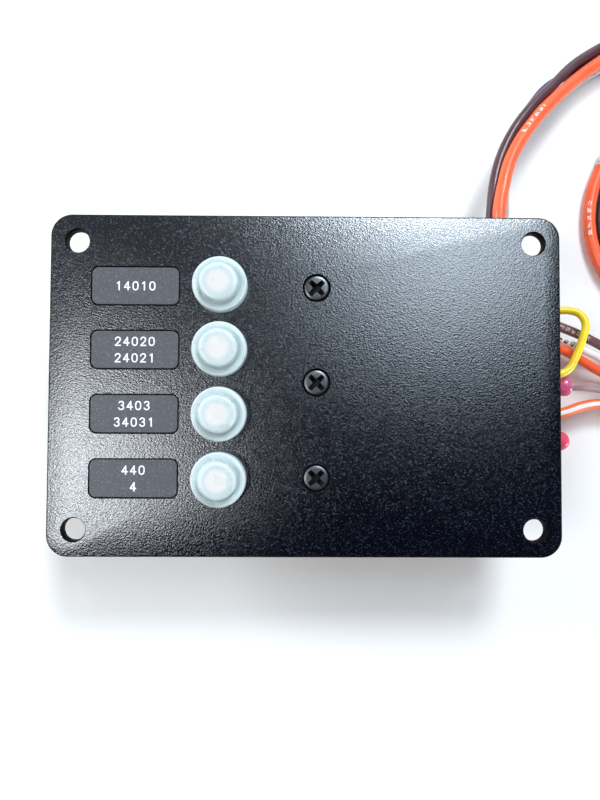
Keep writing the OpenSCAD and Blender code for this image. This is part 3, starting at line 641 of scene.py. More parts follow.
class Piece:
    """Makes objects from meshes and puts them in the part."""

    @staticmethod
    def from_bmesh(name: str, made: bmesh.types.BMesh, sharp: float = 35.0) -> bpy.types.Object:
        """An object from a bmesh, in metres, smooth but for its sharp edges.

        Args:
            name: the object's name.
            made: the bmesh, which is freed.
            sharp: the angle of a sharp edge, in degrees.

        Returns:
            The object, linked to the scene.
        """
        bmesh.ops.recalc_face_normals(made, faces=made.faces)
        mesh = bpy.data.meshes.new(name)
        made.to_mesh(mesh)
        made.free()
        mesh.shade_smooth()
        mesh.set_sharp_from_angle(angle=math.radians(sharp))
        return link_object(name, mesh)

    @staticmethod
    def seat(piece: bpy.types.Object, finish: Finish, slot: str, replaced: Iterable[str] = (),
             body: Optional[str] = PANEL_BODY) -> bpy.types.Object:
        """Dresses a piece and seats it on a body.

        Args:
            piece: the object.
            finish: its finish.
            slot: the record's material slot, which is not used.
            replaced: the CAD nodes that it stands for.
            body: the body it rides on, or None where it bends between two.

        Returns:
            The same object.
        """
        piece.data.materials.clear()
        piece.data.materials.append(finish.material())
        if body is not None:
            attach(piece, body)
        names = list(replaced)
        if names:
            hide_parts(*names)
        LOG.info("%s: %d faces", piece.name, len(piece.data.polygons))
        return piece

    @staticmethod
    def put(name: str, made: bmesh.types.BMesh, finish: Finish, slot: str,
            replaced: Iterable[str] = (), sharp: float = 35.0,
            body: Optional[str] = PANEL_BODY) -> bpy.types.Object:
        """Makes an object from a bmesh, dresses it and seats it."""
        return Piece.seat(Piece.from_bmesh(name, made, sharp), finish, slot, replaced, body)

    @staticmethod
    def soften(node: str, width: float, finish: Finish, slot: str) -> None:
        """Puts a copy of a CAD node, with its sharp edges rounded, in the node's place.

        Args:
            node: the CAD node.
            width: how far the rounding reaches, in millimetres.
            finish: the copy's finish.
            slot: the record's material slot.
        """
        made = bmesh.new()
        made.from_mesh(bpy.data.objects[node].data)
        bmesh.ops.remove_doubles(made, verts=made.verts, dist=1e-6)
        flat = math.radians(1.0)
        bmesh.ops.dissolve_limit(made, angle_limit=flat, verts=made.verts, edges=made.edges)
        edges = [e for e in made.edges if e.is_manifold and e.calc_face_angle() > math.radians(40)]
        bmesh.ops.bevel(made, geom=edges, offset=width * MM, offset_type="OFFSET", segments=2,
                        profile=0.5, affect="EDGES", clamp_overlap=False)
        bmesh.ops.triangulate(made, faces=[f for f in made.faces if len(f.verts) > 4])
        Piece.put(f"{node}_look", made, finish, slot, [node], 20.0)

    @staticmethod
    def dress(node: str, finish: Finish) -> None:
        """Gives a CAD node that stays its finish.

        Args:
            node: the CAD node.
            finish: its finish.
        """
        mesh = bpy.data.objects[node].data
        mesh.materials.clear()
        mesh.materials.append(finish.material())


class Shapes:
    """Mesh makers, in millimetres."""

    @staticmethod
    def loop(made: bmesh.types.BMesh, outline: Sequence[Flat], z: float) -> Ring:
        """A ring of vertices at one height."""
        return [made.verts.new((x * MM, y * MM, z * MM)) for x, y in outline]

    @staticmethod
    def skin(made: bmesh.types.BMesh, rings: Sequence[Ring]) -> None:
        """Joins rings of equal count by quads.

        Args:
            made: the bmesh.
            rings: the rings, in order.
        """
        for low, high in zip(rings, rings[1:]):
            count = len(low)
            for k in range(count):
                made.faces.new((low[k], low[(k + 1) % count], high[(k + 1) % count], high[k]))

    @staticmethod
    def capped(made: bmesh.types.BMesh, rings: Sequence[Ring]) -> None:
        """Joins rings by quads and closes both ends.

        Args:
            made: the bmesh.
            rings: the rings, in order.
        """
        Shapes.skin(made, rings)
        for end in (rings[0], rings[-1]):
            made.faces.new(end)

    @staticmethod
    def fill(made: bmesh.types.BMesh, rings: Sequence[Ring]) -> None:
        """Fills the flat between an outer ring and the rings of its holes.

        Args:
            made: the bmesh.
            rings: the outer ring and those of the holes.
        """
        edges = []
        for ring in rings:
            for a, b in zip(ring, [*ring[1:], ring[0]]):
                edges.append(made.edges.get((a, b)) or made.edges.new((a, b)))
        bmesh.ops.triangle_fill(made, use_beauty=True, edges=edges)

    @staticmethod
    def absorb(made: bmesh.types.BMesh, part: bmesh.types.BMesh) -> None:
        """Adds one bmesh to another and frees it.

        Args:
            made: the bmesh that grows.
            part: the one that is added to it.
        """
        mesh = bpy.data.meshes.new("part")
        part.to_mesh(mesh)
        part.free()
        made.from_mesh(mesh)
        bpy.data.meshes.remove(mesh)

    @staticmethod
    def lathe(profile: Sequence[Flat], centre: Point, segments: int = 64, axis: str = "Z",
              closed: bool = True) -> bmesh.types.BMesh:
        """A revolved shape.

        Args:
            profile: pairs of radius and height.
            centre: where height 0 of the axis lies.
            segments: the steps round it.
            axis: "Z" or "X", the way that heights run.
            closed: whether the profile's end meets its start.

        Returns:
            The bmesh.
        """
        made = bmesh.new()
        rings = []
        for radius, height in profile:
            ring = []
            for x, y in outline_circle((0, 0), max(radius, 0.0), segments):
                place = (x, y, height) if axis == "Z" else (height, x, y)
                ring.append(made.verts.new([(c + p) * MM for c, p in zip(centre, place)]))
            rings.append(ring)
        Shapes.skin(made, rings + [rings[0]] if closed else rings)
        bmesh.ops.remove_doubles(made, verts=made.verts, dist=1e-7)
        bmesh.ops.dissolve_degenerate(made, edges=made.edges, dist=1e-8)
        return made

    @staticmethod
    def tube(path: Sequence[Vector], radius: float, sides: int = 20,
             flat: float = 1.0) -> bmesh.types.BMesh:
        """A round tube along a path, with a UV map of metres along it and turns round it.

        Args:
            path: its middle line, in millimetres.
            radius: its radius.
            sides: the steps round it.
            flat: its height as a share of its width.

        Returns:
            The bmesh.
        """
        made = bmesh.new()
        layer = made.loops.layers.uv.new(LEAD_UV)
        rings, marks, run = [], [], 0.0
        for k, (here, ahead) in enumerate(zip(path, unit_slopes(path))):
            run += (here - path[k - 1]).length * MM if k else 0.0
            side = ahead.cross(Vector((0, 0, 1))).normalized()
            up = side.cross(ahead)
            ring = []
            for n in range(sides):
                turn = 2 * math.pi * n / sides
                place = here + radius * (math.cos(turn) * side + flat * math.sin(turn) * up)
                ring.append(made.verts.new(place * MM))
            rings.append(ring)
            marks.append(run)
        for k in range(len(rings) - 1):
            for n in range(sides):
                m = (n + 1) % sides
                face = made.faces.new((rings[k][n], rings[k][m], rings[k + 1][m], rings[k + 1][n]))
                corners = ((k, n), (k, n + 1), (k + 1, n + 1), (k + 1, n))
                for corner, (row, column) in zip(face.loops, corners):
                    corner[layer].uv = (marks[row], column / sides)
        made.faces.new(rings[0])
        made.faces.new(list(reversed(rings[-1])))
        return made

    @staticmethod
    def thread(radius: float, bore: float, pitch: float, low: float, high: float, centre: Flat,
               depth: float = 0.35, segments: int = 32, lead_in: float = 0.15) -> bmesh.types.BMesh:
        """A threaded rod or neck.

        Args:
            radius: the radius over its crests.
            bore: the radius of its bore, or 0.
            pitch: the rise of one turn.
            low: the height of its lower end.
            high: the height of its upper end.
            centre: the place of its axis.
            depth: how deep the thread is.
            segments: the steps round it.
            lead_in: how far its ends are chamfered.

        Returns:
            The bmesh.
        """
        made = bmesh.new()
        rows = max(2, round((high - low) / (pitch / 6)))
        rings = []
        for row in range(rows + 1):
            z = low + (high - low) * row / rows
            outline = []
            ease = min(1.0, (z - low) / pitch, (high - z) / pitch)
            for k in range(segments):
                phase = (z / pitch - k / segments) % 1.0
                r = radius - depth * (1 - abs(2 * phase - 1)) * ease - lead_in * (1 - ease)
                outline.append(polar(centre, r, 2 * math.pi * k / segments))
            rings.append(Shapes.loop(made, outline, z))
        if bore > 0:
            outline = outline_circle(centre, bore, segments)
            inner = [Shapes.loop(made, outline, z) for z in (high, low)]
            Shapes.skin(made, [*rings, *inner, rings[0]])
        else:
            Shapes.capped(made, rings)
        return made


@dataclass
class PhotoCamera:
    """The camera, at the place and angle that the photograph was taken from."""

    place: Point = (-3.41, -10.01, 214.18)
    turn: Point = (-1.805, 0.555, -0.278)
    focal_px: float = 600.0
    long_side_px: float = 800.0
    sensor: float = 36.0

    def build(self) -> None:
        """Makes the camera and hands it to the scene."""
        data = bpy.data.cameras.new("photo_camera")
        data.sensor_fit = "AUTO"
        data.sensor_width = self.sensor
        data.lens = self.focal_px / self.long_side_px * self.sensor
        data.clip_start, data.clip_end = 0.005, 20.0
        camera = link_object("photo_camera", data)
        about = [Matrix.Rotation(math.radians(a), 3, axis) for a, axis in zip(self.turn, "XYZ")]
        to_camera = about[2] @ about[1] @ about[0]
        moved = Matrix.Translation(Vector(self.place) * MM)
        camera.matrix_world = moved @ to_camera.transposed().to_4x4()
        bpy.context.scene.camera = camera


@dataclass(frozen=True)
class Lamp:
    """One soft lamp."""

    name: str
    place: Point
    target: Point
    size: float
    watts: float
    colour: Colour = (1.0, 1.0, 1.0)

    def build(self) -> None:
        """Makes the lamp, pointed at its target."""
        data = bpy.data.lights.new(self.name, "AREA")
        data.shape = "DISK"
        data.size = self.size * MM
        data.energy = self.watts
        data.color = self.colour
        lamp = link_object(self.name, data)
        lamp.location = Vector(self.place) * MM
        aim = Vector(self.target) - Vector(self.place)
        lamp.rotation_mode = "QUATERNION"
        lamp.rotation_quaternion = aim.to_track_quat("-Z", "Y")


@dataclass
class Studio:
    """The pale table, the light round it and the lamps."""

    reach: float = 3000.0
    drop: float = 0.1
    table_colour: Colour = (0.88, 0.89, 0.9)
    glow_colour: Colour = (0.97, 0.98, 1.0)
    room_colour: Colour = (0.98, 0.99, 1.0)
    fade: Flat = (300.0, 900.0)
    far_lift: float = 1.0
    zenith: float = 0.01
    horizon: float = 0.3
    wall: float = 0.2
    lamps: tuple[Lamp, ...] = (
        Lamp("window_lamp", (480, 1380, 1500), (20, 0, 30), 600, 30.0, (0.9, 0.96, 1.0)),
        Lamp("glare_lamp", (212, 256, 640), (20, 0, 30), 300, 1.42, (0.82, 0.92, 1.0)),
        Lamp("side_lamp", (-950, 420, 460), (0, 0, 30), 300, 6.5),
        Lamp("right_lamp", (820, -360, 125), (-25, 0, 38), 190, 4.6, (0.92, 0.98, 1.0)),
        Lamp("left_lamp", (-322, -88, 640), (-20, 0, 30), 260, 1.65),
    )

    def build(self) -> None:
        """Makes the table, the world and the lamps."""
        bpy.context.scene.view_settings.view_transform = "Standard"
        self._table()
        self._world()
        for lamp in self.lamps:
            lamp.build()

    @staticmethod
    def _empty_graph(owner: bpy.types.Material | bpy.types.World) -> Graph:
        """The cleared node tree of a material or a world.

        Args:
            owner: the material or world.

        Returns:
            Its graph.
        """
        owner.use_nodes = True
        owner.node_tree.nodes.clear()
        return Graph(owner.node_tree)

    def _table(self) -> None:
        """The table's square and its material."""
        mesh = bpy.data.meshes.new("table")
        half, low = self.reach * MM / 2, -self.drop * MM
        corners = [(-half, -half, low), (half, -half, low), (half, half, low), (-half, half, low)]
        mesh.from_pydata(corners, [], [(0, 1, 2, 3)])
        mesh.materials.append(self._table_material())
        table = link_object("table", mesh)

    def _table_material(self) -> bpy.types.Material:
        """Matt and pale, lifted to white far off where it is seen, and clear from below.

        Returns:
            The material.
        """
        material = bpy.data.materials.new("pale_table")
        graph = self._empty_graph(material)
        matt = graph.add("ShaderNodeBsdfDiffuse", {"Color": rgba(self.table_colour)})
        far = graph.add("ShaderNodeVectorMath", {0: graph.where()}, operation="LENGTH")
        near, white = (distance * MM for distance in self.fade)
        lift = graph.spread(far.outputs["Value"], near, white, 0.0, self.far_lift)
        path = graph.add("ShaderNodeLightPath").outputs
        seen = graph.math("MAXIMUM", path["Is Camera Ray"], path["Is Glossy Ray"])
        seen = graph.math("MAXIMUM", seen, path["Is Transmission Ray"])
        glow = graph.add("ShaderNodeEmission", {
            "Color": rgba(self.glow_colour), "Strength": graph.math("MULTIPLY", seen, lift)})
        both = graph.add("ShaderNodeAddShader", {0: matt.outputs[0], 1: glow.outputs[0]})
        back = graph.add("ShaderNodeNewGeometry").outputs["Backfacing"]
        below = graph.math("MULTIPLY", back, path["Is Camera Ray"])
        clear = graph.add("ShaderNodeBsdfTransparent").outputs[0]
        shown = graph.add("ShaderNodeMixShader", {0: below, 1: both.outputs[0], 2: clear})
        graph.add("ShaderNodeOutputMaterial", {0: shown.outputs[0]})
        return material

    def _world(self) -> None:
        """The room: white to the camera, and as light dim overhead and paler on one side."""
        world = bpy.data.worlds.new("room")
        bpy.context.scene.world = world
        graph = self._empty_graph(world)
        x, y, height = graph.add("ShaderNodeSeparateXYZ", {0: graph.where("Generated")}).outputs
        level = graph.spread(height, 0.1, 0.85, self.horizon, self.zenith)
        side = graph.spread(graph.math("SUBTRACT", y, x), 0.0, 0.3, 0.0, self.wall)
        light = graph.math("ADD", level, side)
        path = graph.add("ShaderNodeLightPath").outputs
        seen = graph.math("MAXIMUM", path["Is Camera Ray"], path["Is Transmission Ray"])
        strength = graph.add("ShaderNodeMix", {0: seen, 2: light, 3: 1.0}).outputs[0]
        shown = {"Color": rgba(self.room_colour), "Strength": strength}
        back = graph.add("ShaderNodeBackground", shown)
        graph.add("ShaderNodeOutputWorld", {0: back.outputs[0]})


class FarEnd(Enum):
    """What a lead ends in."""

    BARE = "bare"
    OBJECT = "object"


class Lay(Enum):
    """How a lead lies."""

    LOOSE = "loose"
    COILED = "coiled"


@dataclass
class Lead:
    """One insulated lead: its route, its finish and what it ends in."""

    node: str
    points: Sequence[Point]
    diameter: float
    length: float
    finish: Finish
    slot: str
    far_end: FarEnd = FarEnd.BARE
    lay: Lay = Lay.LOOSE
    strand: float = 6.0
    strand_root: float = 1.0
    strand_steps: int = 6
    strand_twist: float = 0.35
    strand_finish: Finish = COPPER

    def build(self) -> bpy.types.Object:
        """Returns:
            The lead's object.
        """
        path = smooth_curve(self.points, LEAD_STEP)
        made = Shapes.tube(path, self.diameter / 2)
        piece = Piece.put(f"{self.node}_cord", made, self.finish, self.slot, [self.node])
        ends = [self._strands(path)] if self.far_end is FarEnd.BARE else []
        return piece

    def _strands(self, path: Sequence[Vector]) -> bpy.types.Object:
        """The twisted copper strands that stand out of the stripped end.

        Args:
            path: the lead's middle line, in millimetres.

        Returns:
            The strands' object.
        """
        ahead = (path[-1] - path[-2]).normalized()
        side = ahead.cross(Vector((0, 0, 1))).normalized()
        up = side.cross(ahead)
        wire = self.diameter * 0.1
        made = bmesh.new()
        for ring, count in STRAND_RINGS:
            out = ring * wire
            for k in range(count):
                points = []
                for step in range(self.strand_steps + 1):
                    turn = 2 * math.pi * k / count + step * self.strand_twist
                    spot = side * math.cos(turn) * out + up * math.sin(turn) * out
                    rise = self.strand * step / self.strand_steps - self.strand_root
                    points.append(path[-1] + ahead * rise + spot)
                Shapes.absorb(made, Shapes.tube(points, wire * 0.95, 6))
        return Piece.put(f"{self.node}_strands", made, self.strand_finish, self.slot)


TRUNK: tuple[Flat, ...] = (
    (62.3, 58), (64, 66), (67, 75), (72, 84), (79, 93), (87.5, 102), (96, 110), (105, 117),
    (117, 123.5), (133, 127.5), (152, 126), (171, 117), (186, 102), (194, 82), (194, 61), (186, 42),
    (171, 28), (152, 21), (132, 23), (115.5, 33), (105.5, 46), (102, 60), (103, 71), (106.5, 81))
ORANGE_HEIGHTS = (
    24, 23, 21, 19, 16.5, 13, 9.5, 7.2, 5.6, 4.9, 4.9, 4.9, 5.4, 6.2, 6, 4.8, 3, 2.3) + (2.2,) * 6
ORANGE_LANE = tuple((0.0, z) for z in ORANGE_HEIGHTS)
BROWN_LANE = (
    (-1.5, 20.4), (-2.2, 19.7), (-2.8, 18.2), (-3.5, 17.1), (-3.9, 15.4), (-3.9, 12.4), (-4.6, 9.4),
    (-4.4, 6.8), (-4.8, 4), (-5.3, 2.1), (-5.3, 1.8), (-5.3, 1.8), (-4.6, 1.8), (-1, 1.8), (3, 1.8),
    (4.6, 1.8)) + ((4.5, 1.8),) * 8
BLUE_LANE = (
    (-0.6, 17), (-1.4, 16.3), (-2.3, 14.8), (-3.2, 13.7), (-4.1, 12), (-5.2, 9.3), (-3.6, 5.9),
    (-2.6, 3.2), (-1.9, 1.9), (-1.8, 1.6), (-1.8, 1.6), (-1.8, 1.6))
WHITE_LANE = (
    (2.8, 20.4), (1.8, 18.9), (0.8, 16.7), (0.4, 14.5), (0.2, 12), (0.2, 8.7), (0.4, 5.3), (1, 3.1),
    (1.7, 1.9)) + ((1.8, 1.6),) * 4
ORANGE_RUN = (
    (-24, -37.7, 3.2), (-19, -37.7, 3.2), (-8, -41, 5), (0, -46, 7), (10, -48.2, 7.6),
    (26, -48.3, 7.6), (42, -48.3, 7.8), (52, -48, 8.6), (59.3, -46, 12), (63, -40, 15.5),
    (63.2, -30, 18.5), (62.8, -14, 22.3), (62.4, 5, 24), (62.3, 25, 24), (62.3, 46, 24))
BROWN_RUN = (
    (-8.6, 10.3, 3.6), (-4, 10.3, 3.6), (1, 7.5, 5), (3.4, 2, 6.5), (3.5, -8, 7), (3.5, -22, 7),
    (3.6, -31, 7), (4.4, -38, 7), (8, -42.6, 7), (15, -44, 7), (26, -44, 7), (40, -44, 7.4),
    (50, -44, 8.5), (56.5, -41.7, 11), (58.4, -36, 13.5), (58.6, -28, 16.4), (58.6, -14, 20),
    (58.8, 5, 20.8), (59.2, 25, 20.8), (59.5, 46, 20.8))
BLUE_RUN = (
    (-8.6, -8.7, 3.6), (-4.8, -8.7, 3.6), (-0.6, -12, 3), (0.5, -18, 2.8), (0.5, -28, 2.8),
    (1.2, -36, 2.8), (4.8, -42, 2.8), (12, -44, 2.8), (26, -44, 2.8), (40, -44, 3), (50, -43.9, 4),
    (56.4, -41.4, 6.5), (58.4, -35, 9.5), (58.6, -26, 13), (58.6, -12, 16.4), (58.8, 6, 17),
    (59, 26, 17), (59.2, 46, 17))
WHITE_RUN = (
    (-8.6, -27.8, 3.6), (-5.6, -27.8, 3.6), (-3, -31, 3), (-2.6, -37, 2.6), (0.2, -43.4, 2.4),
    (6, -47.2, 2.4), (14, -48, 2.4), (26, -48.1, 2.4), (42, -48, 2.6), (52, -47.6, 4),
    (59.5, -45, 7.5), (63, -39, 11), (63.4, -30, 14), (63.4, -14, 17.6), (63, 6, 19.2),
    (62.6, 26, 19.6), (62.6, 40, 19.6), (63.6, 47, 19.8))
TAIL_BROWN = (
    (54.5, 29.1, 10), (59, 29.1, 10), (70, 27.4, 10), (80, 24.6, 10), (88, 21.9, 9.8),
    (96, 18.9, 9), (104, 15.6, 7), (114, 11, 4), (126, 7.6, 2.1), (140, 6.4, 1.7), (156, 6.2, 1.7))
TAIL_WHITE = (
    (54.5, 24.6, 9), (59, 24.6, 9), (70, 22.6, 9.4), (80, 20, 9.6), (88, 17.6, 9.4), (96, 14.2, 9),
    (104, 10.8, 8), (114, 6.6, 5.6), (126, 3.2, 2.4), (138, 2.4, 1.4), (150, 2.2, 1.4))
TAIL_ORANGE = (
    (54.5, 8.6, 10), (59, 8.6, 10), (68, 11.2, 10), (78, 14.2, 10), (88, 14.2, 9.6),
    (95, 11.1, 8.2), (103, 7, 6.4), (111, 3.6, 4.2), (120, 0.8, 2.4), (130, -1.2, 1.7),
    (144, -1.8, 1.7))
TAIL_GREY = (
    (89.7, 1.6, 11), (93.6, 1.6, 11), (102, 0.9, 8.9), (112, -1.5, 5.4), (122, -4.6, 2.8),
    (134, -6.2, 1.7), (148, -6.6, 1.7))
TAIL_STRIPED = (
    (54.5, -17, 8), (59, -17, 8), (64, -14.8, 8), (68, -12.6, 8), (73, -11, 8), (80, -9.6, 8),
    (90, -7.4, 7.8), (96, -5.4, 7.2), (103, -4.4, 6.2), (112, -7, 4), (122, -9.6, 2.5),
    (134, -10.8, 1.9), (150, -11, 1.9))
JUMPER = (
    (54.5, 34.6, 12), (59, 34.6, 12), (68, 32.6, 12.4), (78, 28.2, 12.8), (84, 27, 13),
    (90, 26.9, 13.3), (92.6, 25.9, 13.7), (94, 23.9, 14.2), (94.3, 21.3, 14.7), (93.3, 18, 15),
    (91.8, 13.9, 15.2), (90.1, 10.2, 15.3), (88, 6.9, 15.6), (85, 5.3, 15.8), (80, 5.4, 15.4),
    (70, 5.6, 13.6), (59, 5.4, 11.6), (54.5, 5.4, 11.6))
SPLICE_STUB = ((54.5, 0.8, 11), (59, 0.8, 11), (65, 1.2, 11), (68.5, 1.6, 11), (72, 1.6, 11))
CAP_STUB = ((54.5, -24, 9), (58, -24, 9), (63, -20.4, 9), (67.4, -17.2, 9), (71, -17.2, 9))


def lane_points(lane: Sequence[Flat]) -> list[Point]:
    """One lead's points in the bundle: its middle line, moved sideways, at the lead's height.

    Args:
        lane: the lead's distance to the right and its height, at each point.

    Returns:
        The points.
    """
    slopes = unit_slopes([Vector((x, y, 0)) for x, y in TRUNK])
    return [(x + slope.y * side, y - slope.x * side, z)
            for (x, y), slope, (side, z) in zip(TRUNK, slopes, lane)]


@dataclass
class Harness:
    """The looped leads, the short tails at the relays and what joins them."""

    stub_r: float = 1.6
    splice_x: Flat = (72.0, 89.7)
    splice_r: float = 3.5
    splice_bore: float = 1.85
    crimps: Flat = (0.27, 0.73)
    barrel_r: Flat = (1.7, 2.05)
    barrel_inset: float = 4.7
    cap_x: Flat = (71.0, 90.8)
    cap_r: float = 3.3
    leads: list[Lead] = field(default_factory=list)

    def __post_init__(self) -> None:
        """Lists the leads."""
        orange = [*ORANGE_RUN, *lane_points(ORANGE_LANE)]
        brown = [*BROWN_RUN, *lane_points(BROWN_LANE)]
        blue = [*BLUE_RUN, *lane_points(BLUE_LANE)]
        white = [*WHITE_RUN, *lane_points(WHITE_LANE)]
        looped = {"lay": Lay.COILED}
        tinned = {"lay": Lay.COILED, "strand_finish": TINNED}
        self.leads = [
            Lead("lead_orange", orange, 4.2, 0.56, ORANGE, "wire_orange", **tinned),
            Lead("lead_brown", brown, 3.4, 0.58, BROWN, "wire_brown", **tinned),
            Lead("lead_blue", blue, 3.0, 0.35, NAVY, "wire_blue", **looped),
            Lead("lead_white", white, 3.0, 0.35, WHITE, "wire_white", **looped),
            Lead("tail_brown", TAIL_BROWN, 3.2, 0.108, BROWN_PRINTED, "wire_brown"),
            Lead("tail_white", TAIL_WHITE, 2.6, 0.101, WHITE_PRINTED, "wire_white"),
            Lead("tail_orange", TAIL_ORANGE, 3.2, 0.096, ORANGE_PLAIN, "wire_orange"),
            Lead("tail_grey", TAIL_GREY, 3.2, 0.06, GREY, "wire_grey"),
            Lead("tail_striped", TAIL_STRIPED, 3.7, 0.1, STRIPED, "wire_striped"),
            Lead("jumper_yellow", JUMPER, 2.6, 0.096, YELLOW, "wire_yellow", FarEnd.OBJECT),
        ]

    def build(self) -> None:
        """Makes the leads, stubs and splices."""
        for lead in self.leads:
            lead.build()
        self._stubs()
        self._splice()
        self._cap()
        self._seals()

    def _stubs(self) -> None:
        """The short stubs between a socket and a splice."""
        stubs = (("splice_stub", SPLICE_STUB, GREY), ("cap_stub", CAP_STUB, ORANGE_PLAIN))
        for name, points, finish in stubs:
            made = Shapes.tube(smooth_curve(points, STUB_STEP), self.stub_r)
            Piece.put(name, made, finish, "wire_grey", ["splice_stubs"])

    def _splice(self) -> None:
        """The butt splice: a clear sleeve with two crimps over a metal barrel."""
        low, high = self.splice_x
        length, r, bore = high - low, self.splice_r, self.splice_bore
        outer = [(r - 0.25, 0.0), (r, 0.5)]
        for middle in self.crimps:
            spot = middle * length
            outer += [(r, spot - 3.0), (r - 0.25, spot - 1.8), (r - 0.8, spot - 0.9),
                      (r - 0.95, spot), (r - 0.8, spot + 0.9), (r - 0.25, spot + 1.8),
                      (r, spot + 3.0)]
        outer += [(r, length - 0.5), (r - 0.25, length)]
        inner = [(bore, length), (bore, length - 4.2), (2.1, length - 4.6), (2.1, 4.6), (bore, 4.2),
                 (bore, 0.0)]
        place = (low, *TAIL_GREY[0][1:])
        made = Shapes.lathe(outer + inner, place, 40, "X")
        Piece.put("butt_splice_sleeve", made, PINK_SLEEVE, "splice_pink", ["butt_splice"], 40.0)
        inside, outside = self.barrel_r
        start, end = self.barrel_inset, length - self.barrel_inset
        profile = [(outside, start), (outside, end), (inside, end), (inside, start)]
        barrel = Shapes.lathe(profile, place, 32, "X")
        Piece.put("butt_splice_barrel", barrel, TINNED, "plated_steel")

    def _cap(self) -> None:
        """The closed-end crimp cap."""
        low, high = self.cap_x
        length, r = high - low, self.cap_r
        profile = [(0.0, 0.0), (1.7, 0.0), (r - 0.1, 0.0), (r + 0.25, 0.35), (r + 0.3, 1.2),
                   (r + 0.1, 1.9), (r, 2.4), (r, 6.0), (r - 0.5, 7.2), (r - 0.62, 8.6),
                   (r - 0.5, 10.0), (r, 11.2), (r, length - r)]
        steps = 8
        for k in range(1, steps + 1):
            profile.append(polar((0.0, length - r), r, math.pi / 2 * k / steps))
        place = (low, *CAP_STUB[-1][1:])
        cap = Shapes.lathe(profile, place, 40, "X", closed=False)
        Piece.put("crimp_cap_sleeve", cap, RED_SLEEVE, "cap_pink", ["crimp_cap"], 40.0)

    def _seals(self) -> None:
        """A short seal round each lead where it enters a socket."""
        seals = ((TAIL_BROWN[0], 1.6), (TAIL_WHITE[0], 1.3), (TAIL_ORANGE[0], 1.6),
                 (TAIL_STRIPED[0], 1.6), (JUMPER[0], 1.35), (JUMPER[-1], 1.35),
                 (SPLICE_STUB[0], 1.6), (CAP_STUB[0], 1.6))
        made = bmesh.new()
        for place, r in seals:
            profile = [(r - 0.05, -0.05), (r + 0.75, -0.05), (r + 0.75, 0.5), (r + 0.5, 0.8),
                       (r + 0.5, 1.3), (r + 0.65, 1.55), (r + 0.35, 1.9), (r - 0.05, 2.0)]
            Shapes.absorb(made, Shapes.lathe(profile, place, 28, "X"))
        Piece.put("socket_seals", made, SOCKET_BLACK, "socket_black")


@dataclass(frozen=True)
class Cut:
    """A hole or pocket of the panel: its outline, and its wall as pairs of growth and height."""

    centre: Flat
    size: Flat
    corner: float
    wall: tuple[Flat, ...]
    through: bool = True

    @classmethod
    def round(cls, centre: Flat, diameter: float, wall: tuple[Flat, ...]) -> Cut:
        """A round hole that goes through."""
        return cls(centre, (diameter, diameter), diameter / 2, wall)

    def outline(self, grow: float) -> list[Flat]:
        """The outline grown by a distance on every side.

        Args:
            grow: the distance.

        Returns:
            The points.
        """
        width, height = self.size[0] + 2 * grow, self.size[1] + 2 * grow
        if self.corner * 2 >= min(self.size):
            return outline_circle(self.centre, width / 2)
        return outline_rounded(self.centre, width, height, self.corner + grow, 8)


